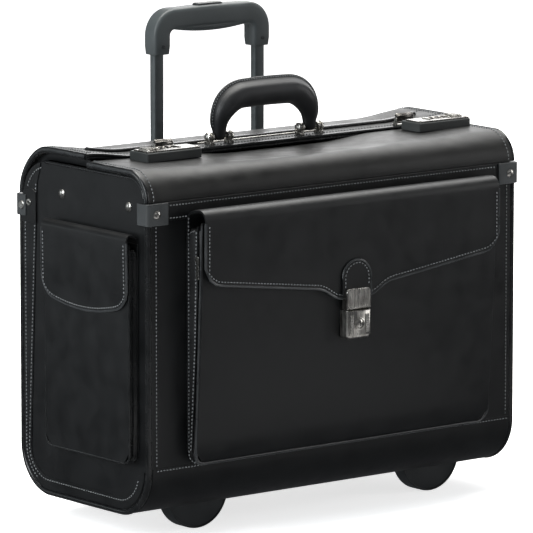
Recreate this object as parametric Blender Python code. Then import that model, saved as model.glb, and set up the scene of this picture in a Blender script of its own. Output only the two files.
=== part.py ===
"""Pilot rolling flight case: a leather-covered box case with two top lids, outside pockets,
combination locks, a folding carry handle, rear wheels and a telescopic trolley.

Units are metres. +X runs along the case, -Y is the front, +Z is up, and the ground is z = 0.
Every part hangs from the empty case_frame, whose x and y are the middle of the case body.
"""

import math

import bmesh
import bpy
from mathutils import Vector

MM = 0.001
GAP = 0.3 * MM

# The case body
LENGTH = 457 * MM
DEPTH = 206 * MM
GROUND = 25 * MM
FRONT_HINGE_Z = GROUND + 306.5 * MM
BACK_HINGE_Z = GROUND + 293.5 * MM
BOTTOM_RADIUS = 46 * MM
WALL = 4 * MM
HALF_X = LENGTH / 2
HALF_Y = DEPTH / 2
WRAP_HALF_X = HALF_X - WALL - GAP
STRIP_THICK = 1.4 * MM
PIPING_RADIUS = 2.5 * MM
PIPING_INSET = 2.6 * MM
PANEL_INSET = 6.4 * MM

# The lids
LID_THICK = 5 * MM
BACK_LID_THICK = 6 * MM
FRONT_LID_RADIUS = 27 * MM
BACK_LID_RADIUS = 42 * MM
FRONT_LID_TOP = FRONT_HINGE_Z + FRONT_LID_RADIUS
BACK_LID_TOP = FRONT_LID_TOP + 3 * MM
FRONT_LID_EDGE_Y = -8 * MM
BACK_LID_EDGE_Y = -4 * MM
PANEL_TOP = FRONT_LID_TOP - LID_THICK - GAP

# The pockets
POCKET_WALL = 2.5 * MM
FRONT_POCKET_HALF_X = 184 * MM
FRONT_POCKET_DEPTH = 28 * MM
FRONT_POCKET_LOW = GROUND + 48 * MM
FRONT_POCKET_RIM = GROUND + 288 * MM
FRONT_FLAP_TOP = GROUND + 298.5 * MM
FRONT_FLAP_CORNER = GROUND + 229 * MM
FRONT_FLAP_TIP = GROUND + 204 * MM
SIDE_POCKET_WIDTH = 136 * MM
SIDE_POCKET_OFFSET_Y = 21 * MM
SIDE_POCKET_DEPTH = 13 * MM
SIDE_POCKET_LOW = GROUND + 53 * MM
SIDE_POCKET_RIM = GROUND + 266 * MM
SIDE_FLAP_TOP = GROUND + 276 * MM

# The push lock on the front pocket
PUSH_LOCK_HALF_X = 15 * MM
PUSH_LOCK_DEPTH = 7 * MM
PUSH_LOCK_LOW = GROUND + 157 * MM
PUSH_LOCK_SPLIT = GROUND + 186 * MM
PUSH_LOCK_TOP = GROUND + 206 * MM

# The combination locks on the lids
LOCK_LENGTH = 66 * MM
LOCK_DEPTH = 29 * MM
LOCK_HEIGHT = 9.5 * MM
LOCK_INNER_X = {"left": 117 * MM, "right": 156.5 * MM}
LOCK_FRONT_Y = -43 * MM
DIAL_RADIUS = 4.6 * MM
DIAL_WIDTH = 5 * MM
DIAL_PITCH = 7.5 * MM
HASP_Y = -1 * MM
HASP_Z = BACK_LID_TOP + GAP + 2.5 * MM

# The carry handle
HANDLE_HALF_X = 56.5 * MM
HANDLE_PIN_Y = 8 * MM
HANDLE_PIN_Z = BACK_LID_TOP + 7.4 * MM
HANDLE_RISE = 39 * MM
HANDLE_CORNER = 27 * MM

# The trolley
TROLLEY_X = 12.5 * MM
TUBE_X = 63.5 * MM
TUBE_Y = 116 * MM
TUBE_TOP = GROUND + 282 * MM
TUBE_LOW = GROUND + 10 * MM
GRIP_LOW = GROUND + 413.5 * MM
GRIP_TOP = GROUND + 458 * MM
GRIP_HALF_X = 73 * MM
GRIP_DEPTH = 21 * MM
HOUSING_BACK_Y = 131.5 * MM

# The wheels and the standing feet
WHEEL_RADIUS = 27 * MM
WHEEL_WIDTH = 20 * MM
WHEEL_X = 150 * MM
WHEEL_Y = 90 * MM
FOOT_RADIUS = 37 * MM
FOOT_X = {"left": 139 * MM, "right": 155 * MM}
FOOT_THICK = 19 * MM
FOOT_FRONT_Y = -65 * MM

# The body's middle lies this far back, so that the whole object's box is centred on y = 0
FRONT_REACH = HALF_Y + FRONT_POCKET_DEPTH + 2 * GAP + POCKET_WALL + PUSH_LOCK_DEPTH
CASE_Y = (FRONT_REACH - HOUSING_BACK_Y) / 2

SIDES = (("left", -1), ("right", 1))


def material(name, colour, roughness, metallic=0.0):
    made = bpy.data.materials.new(name)
    made.use_nodes = True
    shader = made.node_tree.nodes["Principled BSDF"]
    shader.inputs["Base Color"].default_value = (*colour, 1.0)
    shader.inputs["Roughness"].default_value = roughness
    shader.inputs["Metallic"].default_value = metallic
    return made


def arc(centre, radius, start, end, steps):
    """Points of an arc in a plane, with its angles in degrees."""
    points = []
    for i in range(steps + 1):
        angle = math.radians(start + (end - start) * i / steps)
        points.append((centre[0] + radius * math.cos(angle), centre[1] + radius * math.sin(angle)))
    return points


def rectangle(low, high):
    return [(low[0], low[1]), (high[0], low[1]), (high[0], high[1]), (low[0], high[1])]


def place(plane, u, v, along):
    """The point of a drawing plane's (u, v) at a distance along the plane's normal."""
    if plane == "yz":
        return Vector((along, u, v))
    if plane == "xz":
        return Vector((u, along, v))
    return Vector((u, v, along))


def finish(name, bm, origin, finish_material, parent, smooth=False):
    """Turn a bmesh drawn in the case's frame into an object whose origin is at the given point."""
    origin = Vector(origin)
    bmesh.ops.translate(bm, vec=-origin, verts=bm.verts)
    bmesh.ops.recalc_face_normals(bm, faces=bm.faces)
    mesh = bpy.data.meshes.new(name)
    bm.to_mesh(mesh)
    bm.free()
    if smooth:
        mesh.shade_smooth()
        mesh.set_sharp_from_angle(angle=math.radians(35))
    mesh.materials.append(finish_material)
    made = bpy.data.objects.new(name, mesh)
    bpy.context.collection.objects.link(made)
    made.parent = parent
    made.location = origin
    return made


def prism_mesh(outline, plane, low, high):
    """An outline in a plane, extruded between two distances along the plane's normal."""
    bm = bmesh.new()
    base = [bm.verts.new(place(plane, u, v, low)) for u, v in outline]
    face = bm.faces.new(base)
    raised = bmesh.ops.extrude_face_region(bm, geom=[face])
    moved = [item for item in raised["geom"] if isinstance(item, bmesh.types.BMVert)]
    bmesh.ops.translate(bm, vec=place(plane, 0, 0, high - low), verts=moved)
    return bm


def box_mesh(low, high):
    return prism_mesh(rectangle(low[:2], high[:2]), "xy", low[2], high[2])


def sweep_mesh(rings):
    """A closed body through rings of points, each ring a loop of the same length."""
    bm = bmesh.new()
    made = [[bm.verts.new(point) for point in ring] for ring in rings]
    count = len(rings[0])
    for one, two in zip(made, made[1:]):
        for i in range(count):
            bm.faces.new((one[i], one[(i + 1) % count], two[(i + 1) % count], two[i]))
    bm.faces.new(made[0])
    bm.faces.new(made[-1])
    return bm


def turned_mesh(profile, centre, sides=24):
    """A body turned about the X axis through centre, from (distance along X, radius) pairs."""
    rings = []
    for along, radius in profile:
        ring = []
        for i in range(sides):
            angle = 2 * math.pi * i / sides
            ring.append(
                Vector(centre)
                + Vector((along, radius * math.cos(angle), radius * math.sin(angle)))
            )
        rings.append(ring)
    return sweep_mesh(rings)


def tube_rings(path, radii, sides=10):
    """Rings of a round bar that follows a path of points."""
    rings = []
    normal = None
    for i, point in enumerate(path):
        ahead = path[min(i + 1, len(path) - 1)]
        behind = path[max(i - 1, 0)]
        tangent = (ahead - behind).normalized()
        if normal is None:
            normal = tangent.orthogonal().normalized()
        normal = (normal - tangent * normal.dot(tangent)).normalized()
        other = tangent.cross(normal)
        ring = []
        for k in range(sides):
            angle = 2 * math.pi * k / sides
            ring.append(point + radii[i] * (normal * math.cos(angle) + other * math.sin(angle)))
        rings.append(ring)
    return rings


def bevel_edges(bm, width, segments=1):
    bmesh.ops.bevel(
        bm, geom=bm.edges[:], offset=width, segments=segments, affect="EDGES", profile=0.5
    )
    return bm


def cut(target, cutters, operation="DIFFERENCE"):
    """Combine meshes, drawn in the case's frame, with an object by Boolean modifiers."""
    for number, bm in enumerate(cutters):
        name = f"{target.name}.{operation.lower()}{number}"
        tool = finish(name, bm, (0, 0, 0), target.active_material, target.parent)
        tool.hide_render = True
        tool.display_type = "WIRE"
        modifier = target.modifiers.new(name, "BOOLEAN")
        modifier.operation = operation
        modifier.object = tool
        modifier.solver = "EXACT"


def profile_side(inset):
    """The case's side outline: down the front, round the bottom corners and up the back."""
    front = -HALF_Y + inset
    radius = BOTTOM_RADIUS - inset
    corner_z = GROUND + BOTTOM_RADIUS
    points = [(front, FRONT_HINGE_Z - GAP)]
    points += arc((-HALF_Y + BOTTOM_RADIUS, corner_z), radius, 180, 270, 8)
    points += arc((HALF_Y - BOTTOM_RADIUS, corner_z), radius, 270, 360, 8)
    points.append((-front, BACK_HINGE_Z - GAP))
    return points


def make_shell(parts, leather, lining, plastic, steel):
    outline = profile_side(0) + profile_side(WALL)[::-1]
    wrap = finish(
        "shell_wrap",
        prism_mesh(outline, "yz", -WRAP_HALF_X, WRAP_HALF_X),
        (0, 0, 0),
        leather,
        parts,
        smooth=True,
    )
    cutters = []
    for _, side in SIDES:
        low, high = wheel_housing_box(side)
        low = [value - GAP for value in low]
        high = [value + GAP for value in high]
        high[1] += 10 * MM
        low[2] -= 10 * MM
        cutters.append(box_mesh(low, high))
    cut(wrap, cutters)
    for label, side in SIDES:
        make_end_panel(parts, label, side, leather)
        make_piping(parts, label, side, leather)
        frame_low = WRAP_HALF_X - 2 * MM
        finish(
            f"mouth_frame_{label}",
            prism_mesh(
                rectangle((-85 * MM, GROUND + 292 * MM), (80 * MM, GROUND + 306 * MM)),
                "yz",
                side * frame_low,
                side * WRAP_HALF_X,
            ),
            (0, 0, 0),
            steel,
            parts,
        )
    inner_y = HALF_Y - BOTTOM_RADIUS
    finish(
        "base_board",
        box_mesh(
            (-215 * MM, -inner_y, GROUND + WALL + GAP),
            (215 * MM, inner_y - 8 * MM, GROUND + WALL + 3 * MM),
        ),
        (0, 0, 0),
        lining,
        parts,
    )
    finish(
        "inner_divider",
        box_mesh(
            (-220 * MM, 22 * MM, GROUND + WALL + 3 * MM + GAP),
            (220 * MM, 26 * MM, GROUND + 255 * MM),
        ),
        (0, 0, 0),
        lining,
        parts,
    )
    for name, face, hinge_z in (
        ("front_hinge_strip", -1, FRONT_HINGE_Z),
        ("back_hinge_strip", 1, BACK_HINGE_Z),
    ):
        inner = HALF_Y + GAP
        finish(
            name,
            prism_mesh(
                rectangle(
                    (-WRAP_HALF_X, hinge_z - 18 * MM), (WRAP_HALF_X, hinge_z - GAP)
                ),
                "xz",
                face * inner,
                face * (inner + STRIP_THICK),
            ),
            (0, 0, 0),
            leather,
            parts,
        )
        for label, side in SIDES:
            make_clip(parts, f"{name.split('_')[0]}_clip_{label}", side, face, hinge_z, plastic)


def make_end_panel(parts, label, side, leather):
    """A flat end board, set inside the wrap, with its top corners rounded under the lids."""
    points = profile_side(PANEL_INSET)[1:-1]
    back_radius = BACK_LID_RADIUS - PANEL_INSET
    front_radius = FRONT_LID_RADIUS - PANEL_INSET
    back_centre = (HALF_Y - BACK_LID_RADIUS, PANEL_TOP - back_radius)
    front_centre = (-HALF_Y + FRONT_LID_RADIUS, PANEL_TOP - front_radius)
    points += arc(back_centre, back_radius, 0, 90, 8)
    points += arc(front_centre, front_radius, 90, 180, 8)
    finish(
        f"end_panel_{label}",
        prism_mesh(points, "yz", side * (HALF_X - WALL), side * HALF_X),
        (0, 0, 0),
        leather,
        parts,
    )


def make_piping(parts, label, side, leather):
    x = side * (WRAP_HALF_X + GAP + PIPING_RADIUS)
    path = [Vector((x, y, z)) for y, z in profile_side(PIPING_INSET)]
    finish(
        f"edge_piping_{label}",
        sweep_mesh(tube_rings(path, [PIPING_RADIUS] * len(path), 8)),
        (0, 0, 0),
        leather,
        parts,
        smooth=True,
    )


def make_clip(parts, name, side, face, hinge_z, plastic):
    """A moulded corner that wraps the piping's end at the height of a lid's hinge."""
    inner_x = HALF_X + 1.4 * MM
    inner_y = HALF_Y + GAP + STRIP_THICK + GAP
    thick = 2 * MM
    outline = [
        (HALF_X - 22 * MM, inner_y),
        (inner_x, inner_y),
        (inner_x, HALF_Y - 13 * MM),
        (inner_x + thick, HALF_Y - 13 * MM),
    ]
    outline += arc((inner_x, inner_y), thick, 0, 90, 3)
    outline.append((HALF_X - 22 * MM, inner_y + thick))
    outline = [(side * x, face * y) for x, y in outline]
    finish(
        name,
        prism_mesh(outline, "xy", hinge_z - 21.5 * MM, hinge_z - GAP),
        (0, 0, 0),
        plastic,
        parts,
    )


def make_lids(parts, leather):
    front_pivot = Vector((0, -HALF_Y - GAP - STRIP_THICK, FRONT_HINGE_Z))
    back_pivot = Vector((0, HALF_Y + GAP + STRIP_THICK, BACK_HINGE_Z))
    front = []
    centre = (-HALF_Y + FRONT_LID_RADIUS, FRONT_HINGE_Z + GAP)
    front += arc(centre, FRONT_LID_RADIUS, 180, 90, 10)
    front.append((FRONT_LID_EDGE_Y, FRONT_LID_TOP + GAP))
    front.append((FRONT_LID_EDGE_Y, FRONT_LID_TOP + GAP - LID_THICK))
    front += arc(centre, FRONT_LID_RADIUS - LID_THICK, 90, 180, 10)
    finish(
        "front_lid",
        prism_mesh(front, "yz", -HALF_X, HALF_X),
        front_pivot,
        leather,
        parts,
        smooth=True,
    )
    centre = (HALF_Y - BACK_LID_RADIUS, BACK_LID_TOP - BACK_LID_RADIUS)
    back = [(HALF_Y, BACK_HINGE_Z + GAP)]
    back += arc(centre, BACK_LID_RADIUS, 0, 90, 10)
    back.append((BACK_LID_EDGE_Y, BACK_LID_TOP))
    back.append((BACK_LID_EDGE_Y, BACK_LID_TOP - BACK_LID_THICK))
    back += arc(centre, BACK_LID_RADIUS - BACK_LID_THICK, 90, 0, 10)
    back.append((HALF_Y - BACK_LID_THICK, BACK_HINGE_Z + GAP))
    finish(
        "back_lid",
        prism_mesh(back, "yz", -HALF_X, HALF_X),
        back_pivot,
        leather,
        parts,
        smooth=True,
    )


def folded_sheet(rows_outer, rows_inner):
    """A closed sheet with thickness, from matching grids of outer and inner points."""
    bm = bmesh.new()
    outer = [[bm.verts.new(point) for point in row] for row in rows_outer]
    inner = [[bm.verts.new(point) for point in row] for row in rows_inner]
    last = len(outer) - 1
    wide = len(outer[0]) - 1
    for i in range(last):
        for j in range(wide):
            a, b, c, d = outer[i][j], outer[i][j + 1], outer[i + 1][j + 1], outer[i + 1][j]
            bm.faces.new((a, b, c, d))
            a, b, c, d = inner[i][j], inner[i][j + 1], inner[i + 1][j + 1], inner[i + 1][j]
            bm.faces.new((d, c, b, a))
    for i in range(last):
        bm.faces.new((outer[i][0], outer[i + 1][0], inner[i + 1][0], inner[i][0]))
        bm.faces.new((outer[i + 1][wide], outer[i][wide], inner[i][wide], inner[i + 1][wide]))
    for j in range(wide):
        bm.faces.new((outer[0][j + 1], outer[0][j], inner[0][j], inner[0][j + 1]))
        bm.faces.new((outer[last][j], outer[last][j + 1], inner[last][j + 1], inner[last][j]))
    return bm


def flap_mesh(half_width, reach, top_z, low_z, thick, corner, across, columns):
    """A flap drawn along u, that leaves its hinge at w = 0, bends down at w = reach and ends low.

    low_z gives the lower edge's height for a u, and across turns (u, w, z) into a point.
    """
    outer_rows = []
    inner_rows = []
    for i in range(columns + 1):
        u = half_width * (2 * i / columns - 1)
        outer = [(0, top_z)]
        inner = [(0, top_z - thick)]
        outer += arc((reach - corner, top_z - corner), corner, 90, 0, 4)
        inner += arc((reach - corner, top_z - corner), corner - thick, 90, 0, 4)
        outer.append((reach, low_z(u)))
        inner.append((reach - thick, low_z(u)))
        outer_rows.append([across(u, w, z) for w, z in outer])
        inner_rows.append([across(u, w, z) for w, z in inner])
    return folded_sheet(outer_rows, inner_rows)


def front_flap_edge(u):
    """The front flap's lower edge: a shallow V with rounded outer corners."""
    far = abs(u) / FRONT_POCKET_HALF_X
    height = FRONT_FLAP_TIP + (FRONT_FLAP_CORNER - FRONT_FLAP_TIP) * far**0.8
    rounding = max(0.0, abs(u) - FRONT_POCKET_HALF_X + 12 * MM)
    return height + 12 * MM - math.sqrt(max(0.0, (12 * MM) ** 2 - rounding**2))


def make_front_pocket(parts, leather, metal):
    back = -HALF_Y - GAP
    front = -HALF_Y - FRONT_POCKET_DEPTH
    low = (-FRONT_POCKET_HALF_X, front, FRONT_POCKET_LOW)
    high = (FRONT_POCKET_HALF_X, back, FRONT_POCKET_RIM)
    pocket = finish("front_pocket", box_mesh(low, high), (0, 0, 0), leather, parts)
    hollow_low = (low[0] + POCKET_WALL, low[1] + POCKET_WALL, low[2] + POCKET_WALL)
    hollow_high = (high[0] - POCKET_WALL, high[1] - 1.5 * MM, high[2] + 10 * MM)
    cut(pocket, [box_mesh(hollow_low, hollow_high)])

    hinge_y = -HALF_Y - GAP - STRIP_THICK - GAP
    reach = hinge_y - front + POCKET_WALL + GAP
    finish(
        "front_pocket_flap",
        flap_mesh(
            FRONT_POCKET_HALF_X,
            reach,
            FRONT_FLAP_TOP,
            front_flap_edge,
            POCKET_WALL,
            9 * MM,
            lambda u, w, z: Vector((u, hinge_y - w, z)),
            36,
        ),
        (0, hinge_y, FRONT_FLAP_TOP),
        leather,
        parts,
        smooth=True,
    )
    face = front - GAP
    body_low = (-PUSH_LOCK_HALF_X, -FRONT_REACH, PUSH_LOCK_LOW)
    body_high = (PUSH_LOCK_HALF_X, face, PUSH_LOCK_SPLIT - GAP)
    body = finish(
        "push_lock_body",
        bevel_edges(box_mesh(body_low, body_high), 1.5 * MM),
        (0, 0, 0),
        metal,
        parts,
    )
    button_z = GROUND + 172 * MM
    outline = arc((0, button_z), 4.5 * MM, 0, 345, 23)
    cut(body, [prism_mesh(outline, "xz", -FRONT_REACH - 1 * MM, face - 2 * MM)])
    outline = arc((0, button_z), 4.2 * MM, 0, 345, 23)
    finish(
        "push_lock_button",
        prism_mesh(outline, "xz", -FRONT_REACH, face - 4.5 * MM),
        (0, -FRONT_REACH, button_z),
        metal,
        parts,
        smooth=True,
    )
    flap_face = face - POCKET_WALL - GAP
    finish(
        "push_lock_hasp",
        bevel_edges(
            box_mesh(
                (-PUSH_LOCK_HALF_X, -FRONT_REACH, PUSH_LOCK_SPLIT),
                (PUSH_LOCK_HALF_X, flap_face, PUSH_LOCK_TOP),
            ),
            1.2 * MM,
        ),
        (0, hinge_y, FRONT_FLAP_TOP),
        metal,
        parts,
    )
    puller_x = -FRONT_POCKET_HALF_X - GAP
    finish(
        "zip_puller",
        prism_mesh(
            [
                (-121 * MM, GROUND + 254 * MM),
                (-126 * MM, GROUND + 254 * MM),
                (-127 * MM, GROUND + 232 * MM),
                (-120 * MM, GROUND + 232 * MM),
            ],
            "yz",
            puller_x - 1.6 * MM,
            puller_x,
        ),
        (puller_x, -123.5 * MM, GROUND + 254 * MM),
        metal,
        parts,
    )


def make_side_pocket(parts, label, side, leather):
    """One end's pocket and flap; the right one is the left one turned half round."""
    inner = HALF_X + GAP
    outer = HALF_X + SIDE_POCKET_DEPTH
    middle = side * SIDE_POCKET_OFFSET_Y
    half = SIDE_POCKET_WIDTH / 2

    def outline(wall, low_z, high_z):
        return rectangle((middle - half + wall, low_z), (middle + half - wall, high_z))

    pocket = finish(
        f"side_pocket_{label}",
        prism_mesh(outline(0, SIDE_POCKET_LOW, SIDE_POCKET_RIM), "yz", side * inner, side * outer),
        (0, 0, 0),
        leather,
        parts,
    )
    hollow = prism_mesh(
        outline(2 * MM, SIDE_POCKET_LOW + 2 * MM, SIDE_POCKET_RIM + 9 * MM),
        "yz",
        side * (inner + 1.2 * MM),
        side * (outer - 2 * MM),
    )
    cut(pocket, [hollow])

    def edge(u):
        """The lower edge hangs lowest off the middle and rises at both corners."""
        far = (u - side * 12 * MM) / half
        return GROUND + 201 * MM + 12 * MM * min(1.0, far * far)

    hinge_x = HALF_X + 2.6 * MM
    finish(
        f"side_pocket_flap_{label}",
        flap_mesh(
            half,
            outer + GAP + 2 * MM - hinge_x,
            SIDE_FLAP_TOP,
            edge,
            2 * MM,
            6 * MM,
            lambda u, w, z: Vector((side * (hinge_x + w), middle + u, z)),
            14,
        ),
        (side * hinge_x, middle, SIDE_FLAP_TOP),
        leather,
        parts,
        smooth=True,
    )


def make_combination_lock(parts, label, side, plastic, metal):
    """A three-dial lock on the front lid, and the hasp that swings down to it from the back lid."""
    inner_x = side * LOCK_INNER_X[label]
    outer_x = inner_x + side * LOCK_LENGTH
    middle_x = (inner_x + outer_x) / 2
    low_z = FRONT_LID_TOP + 2 * GAP
    high_z = low_z + LOCK_HEIGHT
    back_y = LOCK_FRONT_Y + LOCK_DEPTH
    middle_y = (LOCK_FRONT_Y + back_y) / 2
    base = finish(
        f"lock_base_{label}",
        bevel_edges(
            box_mesh(
                (min(inner_x, outer_x), LOCK_FRONT_Y, low_z),
                (max(inner_x, outer_x), back_y, high_z),
            ),
            0.8 * MM,
        ),
        (0, 0, 0),
        plastic,
        parts,
    )
    slot_half = DIAL_PITCH * 1.5 + 0.7 * MM
    dial_z = low_z + DIAL_RADIUS + 1.4 * MM + 4 * GAP
    window = box_mesh(
        (middle_x - slot_half, middle_y - DIAL_RADIUS - MM, low_z + 1.2 * MM),
        (middle_x + slot_half, middle_y + DIAL_RADIUS + MM, high_z + 5 * MM),
    )
    hasp_x = inner_x + side * 15 * MM
    notch = box_mesh(
        (hasp_x - 11.5 * MM, back_y - 4.5 * MM, low_z + 1.2 * MM),
        (hasp_x + 11.5 * MM, back_y + 5 * MM, high_z + 5 * MM),
    )
    cut(base, [window, notch])
    for number in range(3):
        x = middle_x + (number - 1) * DIAL_PITCH
        half = DIAL_WIDTH / 2
        finish(
            f"dial_{label}_{number + 1}",
            turned_mesh([(-half, DIAL_RADIUS), (half, DIAL_RADIUS)], (x, middle_y, dial_z), 16),
            (x, middle_y, dial_z),
            metal,
            parts,
        )
    button_x = outer_x - side * 11 * MM
    finish(
        f"lock_button_{label}",
        bevel_edges(
            box_mesh(
                (button_x - 6 * MM, middle_y - 7 * MM, high_z + GAP),
                (button_x + 6 * MM, middle_y + 7 * MM, high_z + 3.4 * MM),
            ),
            0.6 * MM,
        ),
        (button_x, middle_y, high_z),
        metal,
        parts,
    )
    outline = [(HASP_Y + 1.2 * MM, HASP_Z + 9.5 * MM), (HASP_Y - 1.2 * MM, HASP_Z + 9.5 * MM)]
    outline += arc((HASP_Y, HASP_Z), 2.2 * MM, 123, 417, 10)
    finish(
        f"hasp_{label}",
        prism_mesh(outline, "yz", hasp_x - 10.5 * MM, hasp_x + 10.5 * MM),
        (hasp_x, HASP_Y, HASP_Z),
        metal,
        parts,
    )


def make_carry_handle(parts, leather, metal):
    plate_low = BACK_LID_TOP + GAP
    finish(
        "handle_rail",
        bevel_edges(
            box_mesh(
                (-205 * MM, 22 * MM, plate_low), (205 * MM, 28 * MM, plate_low + 2.5 * MM)
            ),
            0.7 * MM,
        ),
        (0, 0, 0),
        metal,
        parts,
    )
    for label, side in SIDES:
        x = side * HANDLE_HALF_X
        cheek = 10 * MM
        thick = 2.5 * MM
        plate_high = plate_low + 1 * MM
        cheek_top = HANDLE_PIN_Z + 4 * MM
        outline = [
            (x - cheek - thick, plate_low),
            (x + cheek + thick, plate_low),
            (x + cheek + thick, cheek_top),
            (x + cheek, cheek_top),
            (x + cheek, plate_high),
            (x - cheek, plate_high),
            (x - cheek, cheek_top),
            (x - cheek - thick, cheek_top),
        ]
        bracket = finish(
            f"handle_bracket_{label}",
            prism_mesh(outline, "xz", HANDLE_PIN_Y - 4 * MM, HANDLE_PIN_Y + 4 * MM),
            (x, HANDLE_PIN_Y, plate_low),
            metal,
            parts,
        )
        reach = cheek + thick + 1.5 * MM
        head = reach - 1.6 * MM
        pin = turned_mesh(
            [(-reach, 3.2 * MM), (-head, 3.2 * MM), (-head + 0.1 * MM, 2 * MM)]
            + [(head - 0.1 * MM, 2 * MM), (head, 3.2 * MM), (reach, 3.2 * MM)],
            (x, HANDLE_PIN_Y, HANDLE_PIN_Z),
            12,
        )
        cut(bracket, [pin], "UNION")

    shoulder = HANDLE_RISE - HANDLE_CORNER
    inner_x = HANDLE_HALF_X - HANDLE_CORNER
    path = [(-HANDLE_HALF_X, -4 * MM), (-HANDLE_HALF_X, 0), (-HANDLE_HALF_X, shoulder / 2)]
    path += arc((-inner_x, shoulder), HANDLE_CORNER, 180, 90, 7)
    path += [(-inner_x / 2, HANDLE_RISE), (0, HANDLE_RISE)]
    path += [(-x, z) for x, z in path[-2::-1]]
    points = [Vector((x, HANDLE_PIN_Y, HANDLE_PIN_Z + z)) for x, z in path]
    radii = []
    for x, z in path:
        swell = max(0.0, z) / HANDLE_RISE
        radii.append(5.4 * MM + 7.6 * MM * swell)
    radii[0] = 3.4 * MM
    radii[-1] = 3.4 * MM
    handle = finish(
        "carry_handle",
        sweep_mesh(tube_rings(points, radii, 12)),
        (0, HANDLE_PIN_Y, HANDLE_PIN_Z),
        leather,
        parts,
        smooth=True,
    )
    reach = HANDLE_HALF_X + 20 * MM
    hole = turned_mesh(
        [(-reach, 2.4 * MM), (reach, 2.4 * MM)], (0, HANDLE_PIN_Y, HANDLE_PIN_Z), 12
    )
    cut(handle, [hole])


def tube_pair(parts, name, width, depth, wall, low_z, high_z, origin_z, metal):
    """The left and right tube of one trolley stage; a wall of 0 makes solid bars."""
    for label, side in SIDES:
        x = TROLLEY_X + side * TUBE_X
        outer_low = (x - width / 2, TUBE_Y - depth / 2)
        outer_high = (x + width / 2, TUBE_Y + depth / 2)
        tube = finish(
            f"{name}_{label}",
            prism_mesh(rectangle(outer_low, outer_high), "xy", low_z, high_z),
            (x, TUBE_Y, origin_z),
            metal,
            parts,
        )
        if wall:
            inner_low = (outer_low[0] + wall, outer_low[1] + wall)
            inner_high = (outer_high[0] - wall, outer_high[1] - wall)
            bore = prism_mesh(
                rectangle(inner_low, inner_high), "xy", low_z - 5 * MM, high_z + 5 * MM
            )
            cut(tube, [bore])


def make_trolley(parts, plastic, dark_metal):
    housing_half = 86 * MM
    front_y = HALF_Y + GAP + STRIP_THICK + 2 * GAP
    low_z = GROUND + 6 * MM
    high_z = TUBE_TOP + 3 * MM
    wall = 2.4 * MM
    housing = finish(
        "trolley_housing",
        bevel_edges(
            box_mesh(
                (TROLLEY_X - housing_half, front_y, low_z),
                (TROLLEY_X + housing_half, HOUSING_BACK_Y, high_z),
            ),
            1.5 * MM,
        ),
        (0, 0, 0),
        plastic,
        parts,
    )
    cutters = [
        box_mesh(
            (TROLLEY_X - housing_half + wall, front_y - 5 * MM, low_z + wall),
            (TROLLEY_X + housing_half - wall, HOUSING_BACK_Y - 2 * MM, high_z - wall),
        )
    ]
    for _, side in SIDES:
        x = TROLLEY_X + side * TUBE_X
        cutters.append(
            box_mesh(
                (x - 8.2 * MM, TUBE_Y - 6.5 * MM, high_z - 10 * MM),
                (x + 8.2 * MM, TUBE_Y + 6.5 * MM, high_z + 10 * MM),
            )
        )
    cut(housing, cutters)
    tube_pair(
        parts, "trolley_outer_tube", 19 * MM, 15.6 * MM, 1.4 * MM, TUBE_LOW, TUBE_TOP - MM,
        TUBE_LOW, dark_metal,
    )
    tube_pair(
        parts, "trolley_middle_tube", 15.4 * MM, 12 * MM, 1.3 * MM, TUBE_LOW + 2 * MM,
        TUBE_TOP + 10 * MM, TUBE_LOW, dark_metal,
    )
    tube_pair(
        parts, "trolley_inner_tube", 12 * MM, 8.6 * MM, 0, GROUND + 142 * MM, GRIP_LOW - GAP,
        GRIP_LOW, dark_metal,
    )
    bar_low = GRIP_TOP - 24 * MM
    corner = 8 * MM
    socket = 18 * MM
    outline = [
        (GRIP_HALF_X - socket, bar_low),
        (GRIP_HALF_X - socket, GRIP_LOW),
        (GRIP_HALF_X, GRIP_LOW),
    ]
    outline += arc((GRIP_HALF_X - corner, GRIP_TOP - corner), corner, 0, 90, 4)
    outline += [(-x, z) for x, z in outline[::-1]]
    outline = [(TROLLEY_X + x, z) for x, z in outline]
    grip = finish(
        "trolley_grip",
        prism_mesh(outline, "xz", TUBE_Y - GRIP_DEPTH / 2, TUBE_Y + GRIP_DEPTH / 2),
        (TROLLEY_X, TUBE_Y, GRIP_LOW),
        plastic,
        parts,
    )
    recess = box_mesh(
        (TROLLEY_X - 17 * MM, TUBE_Y - 6.5 * MM, GRIP_TOP - 7 * MM),
        (TROLLEY_X + 17 * MM, TUBE_Y + 6.5 * MM, GRIP_TOP + 5 * MM),
    )
    cut(grip, [recess])
    finish(
        "trolley_button",
        bevel_edges(
            box_mesh(
                (TROLLEY_X - 16 * MM, TUBE_Y - 5.5 * MM, GRIP_TOP - 3.4 * MM),
                (TROLLEY_X + 16 * MM, TUBE_Y + 5.5 * MM, GRIP_TOP + 3 * MM),
            ),
            1 * MM,
        ),
        (TROLLEY_X, TUBE_Y, GRIP_TOP),
        plastic,
        parts,
    )


def wheel_housing_box(side):
    low = [side * WHEEL_X - 16.5 * MM, HALF_Y - 43 * MM, GROUND]
    high = [side * WHEEL_X + 16.5 * MM, HALF_Y, GROUND + 36 * MM]
    return low, high


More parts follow.
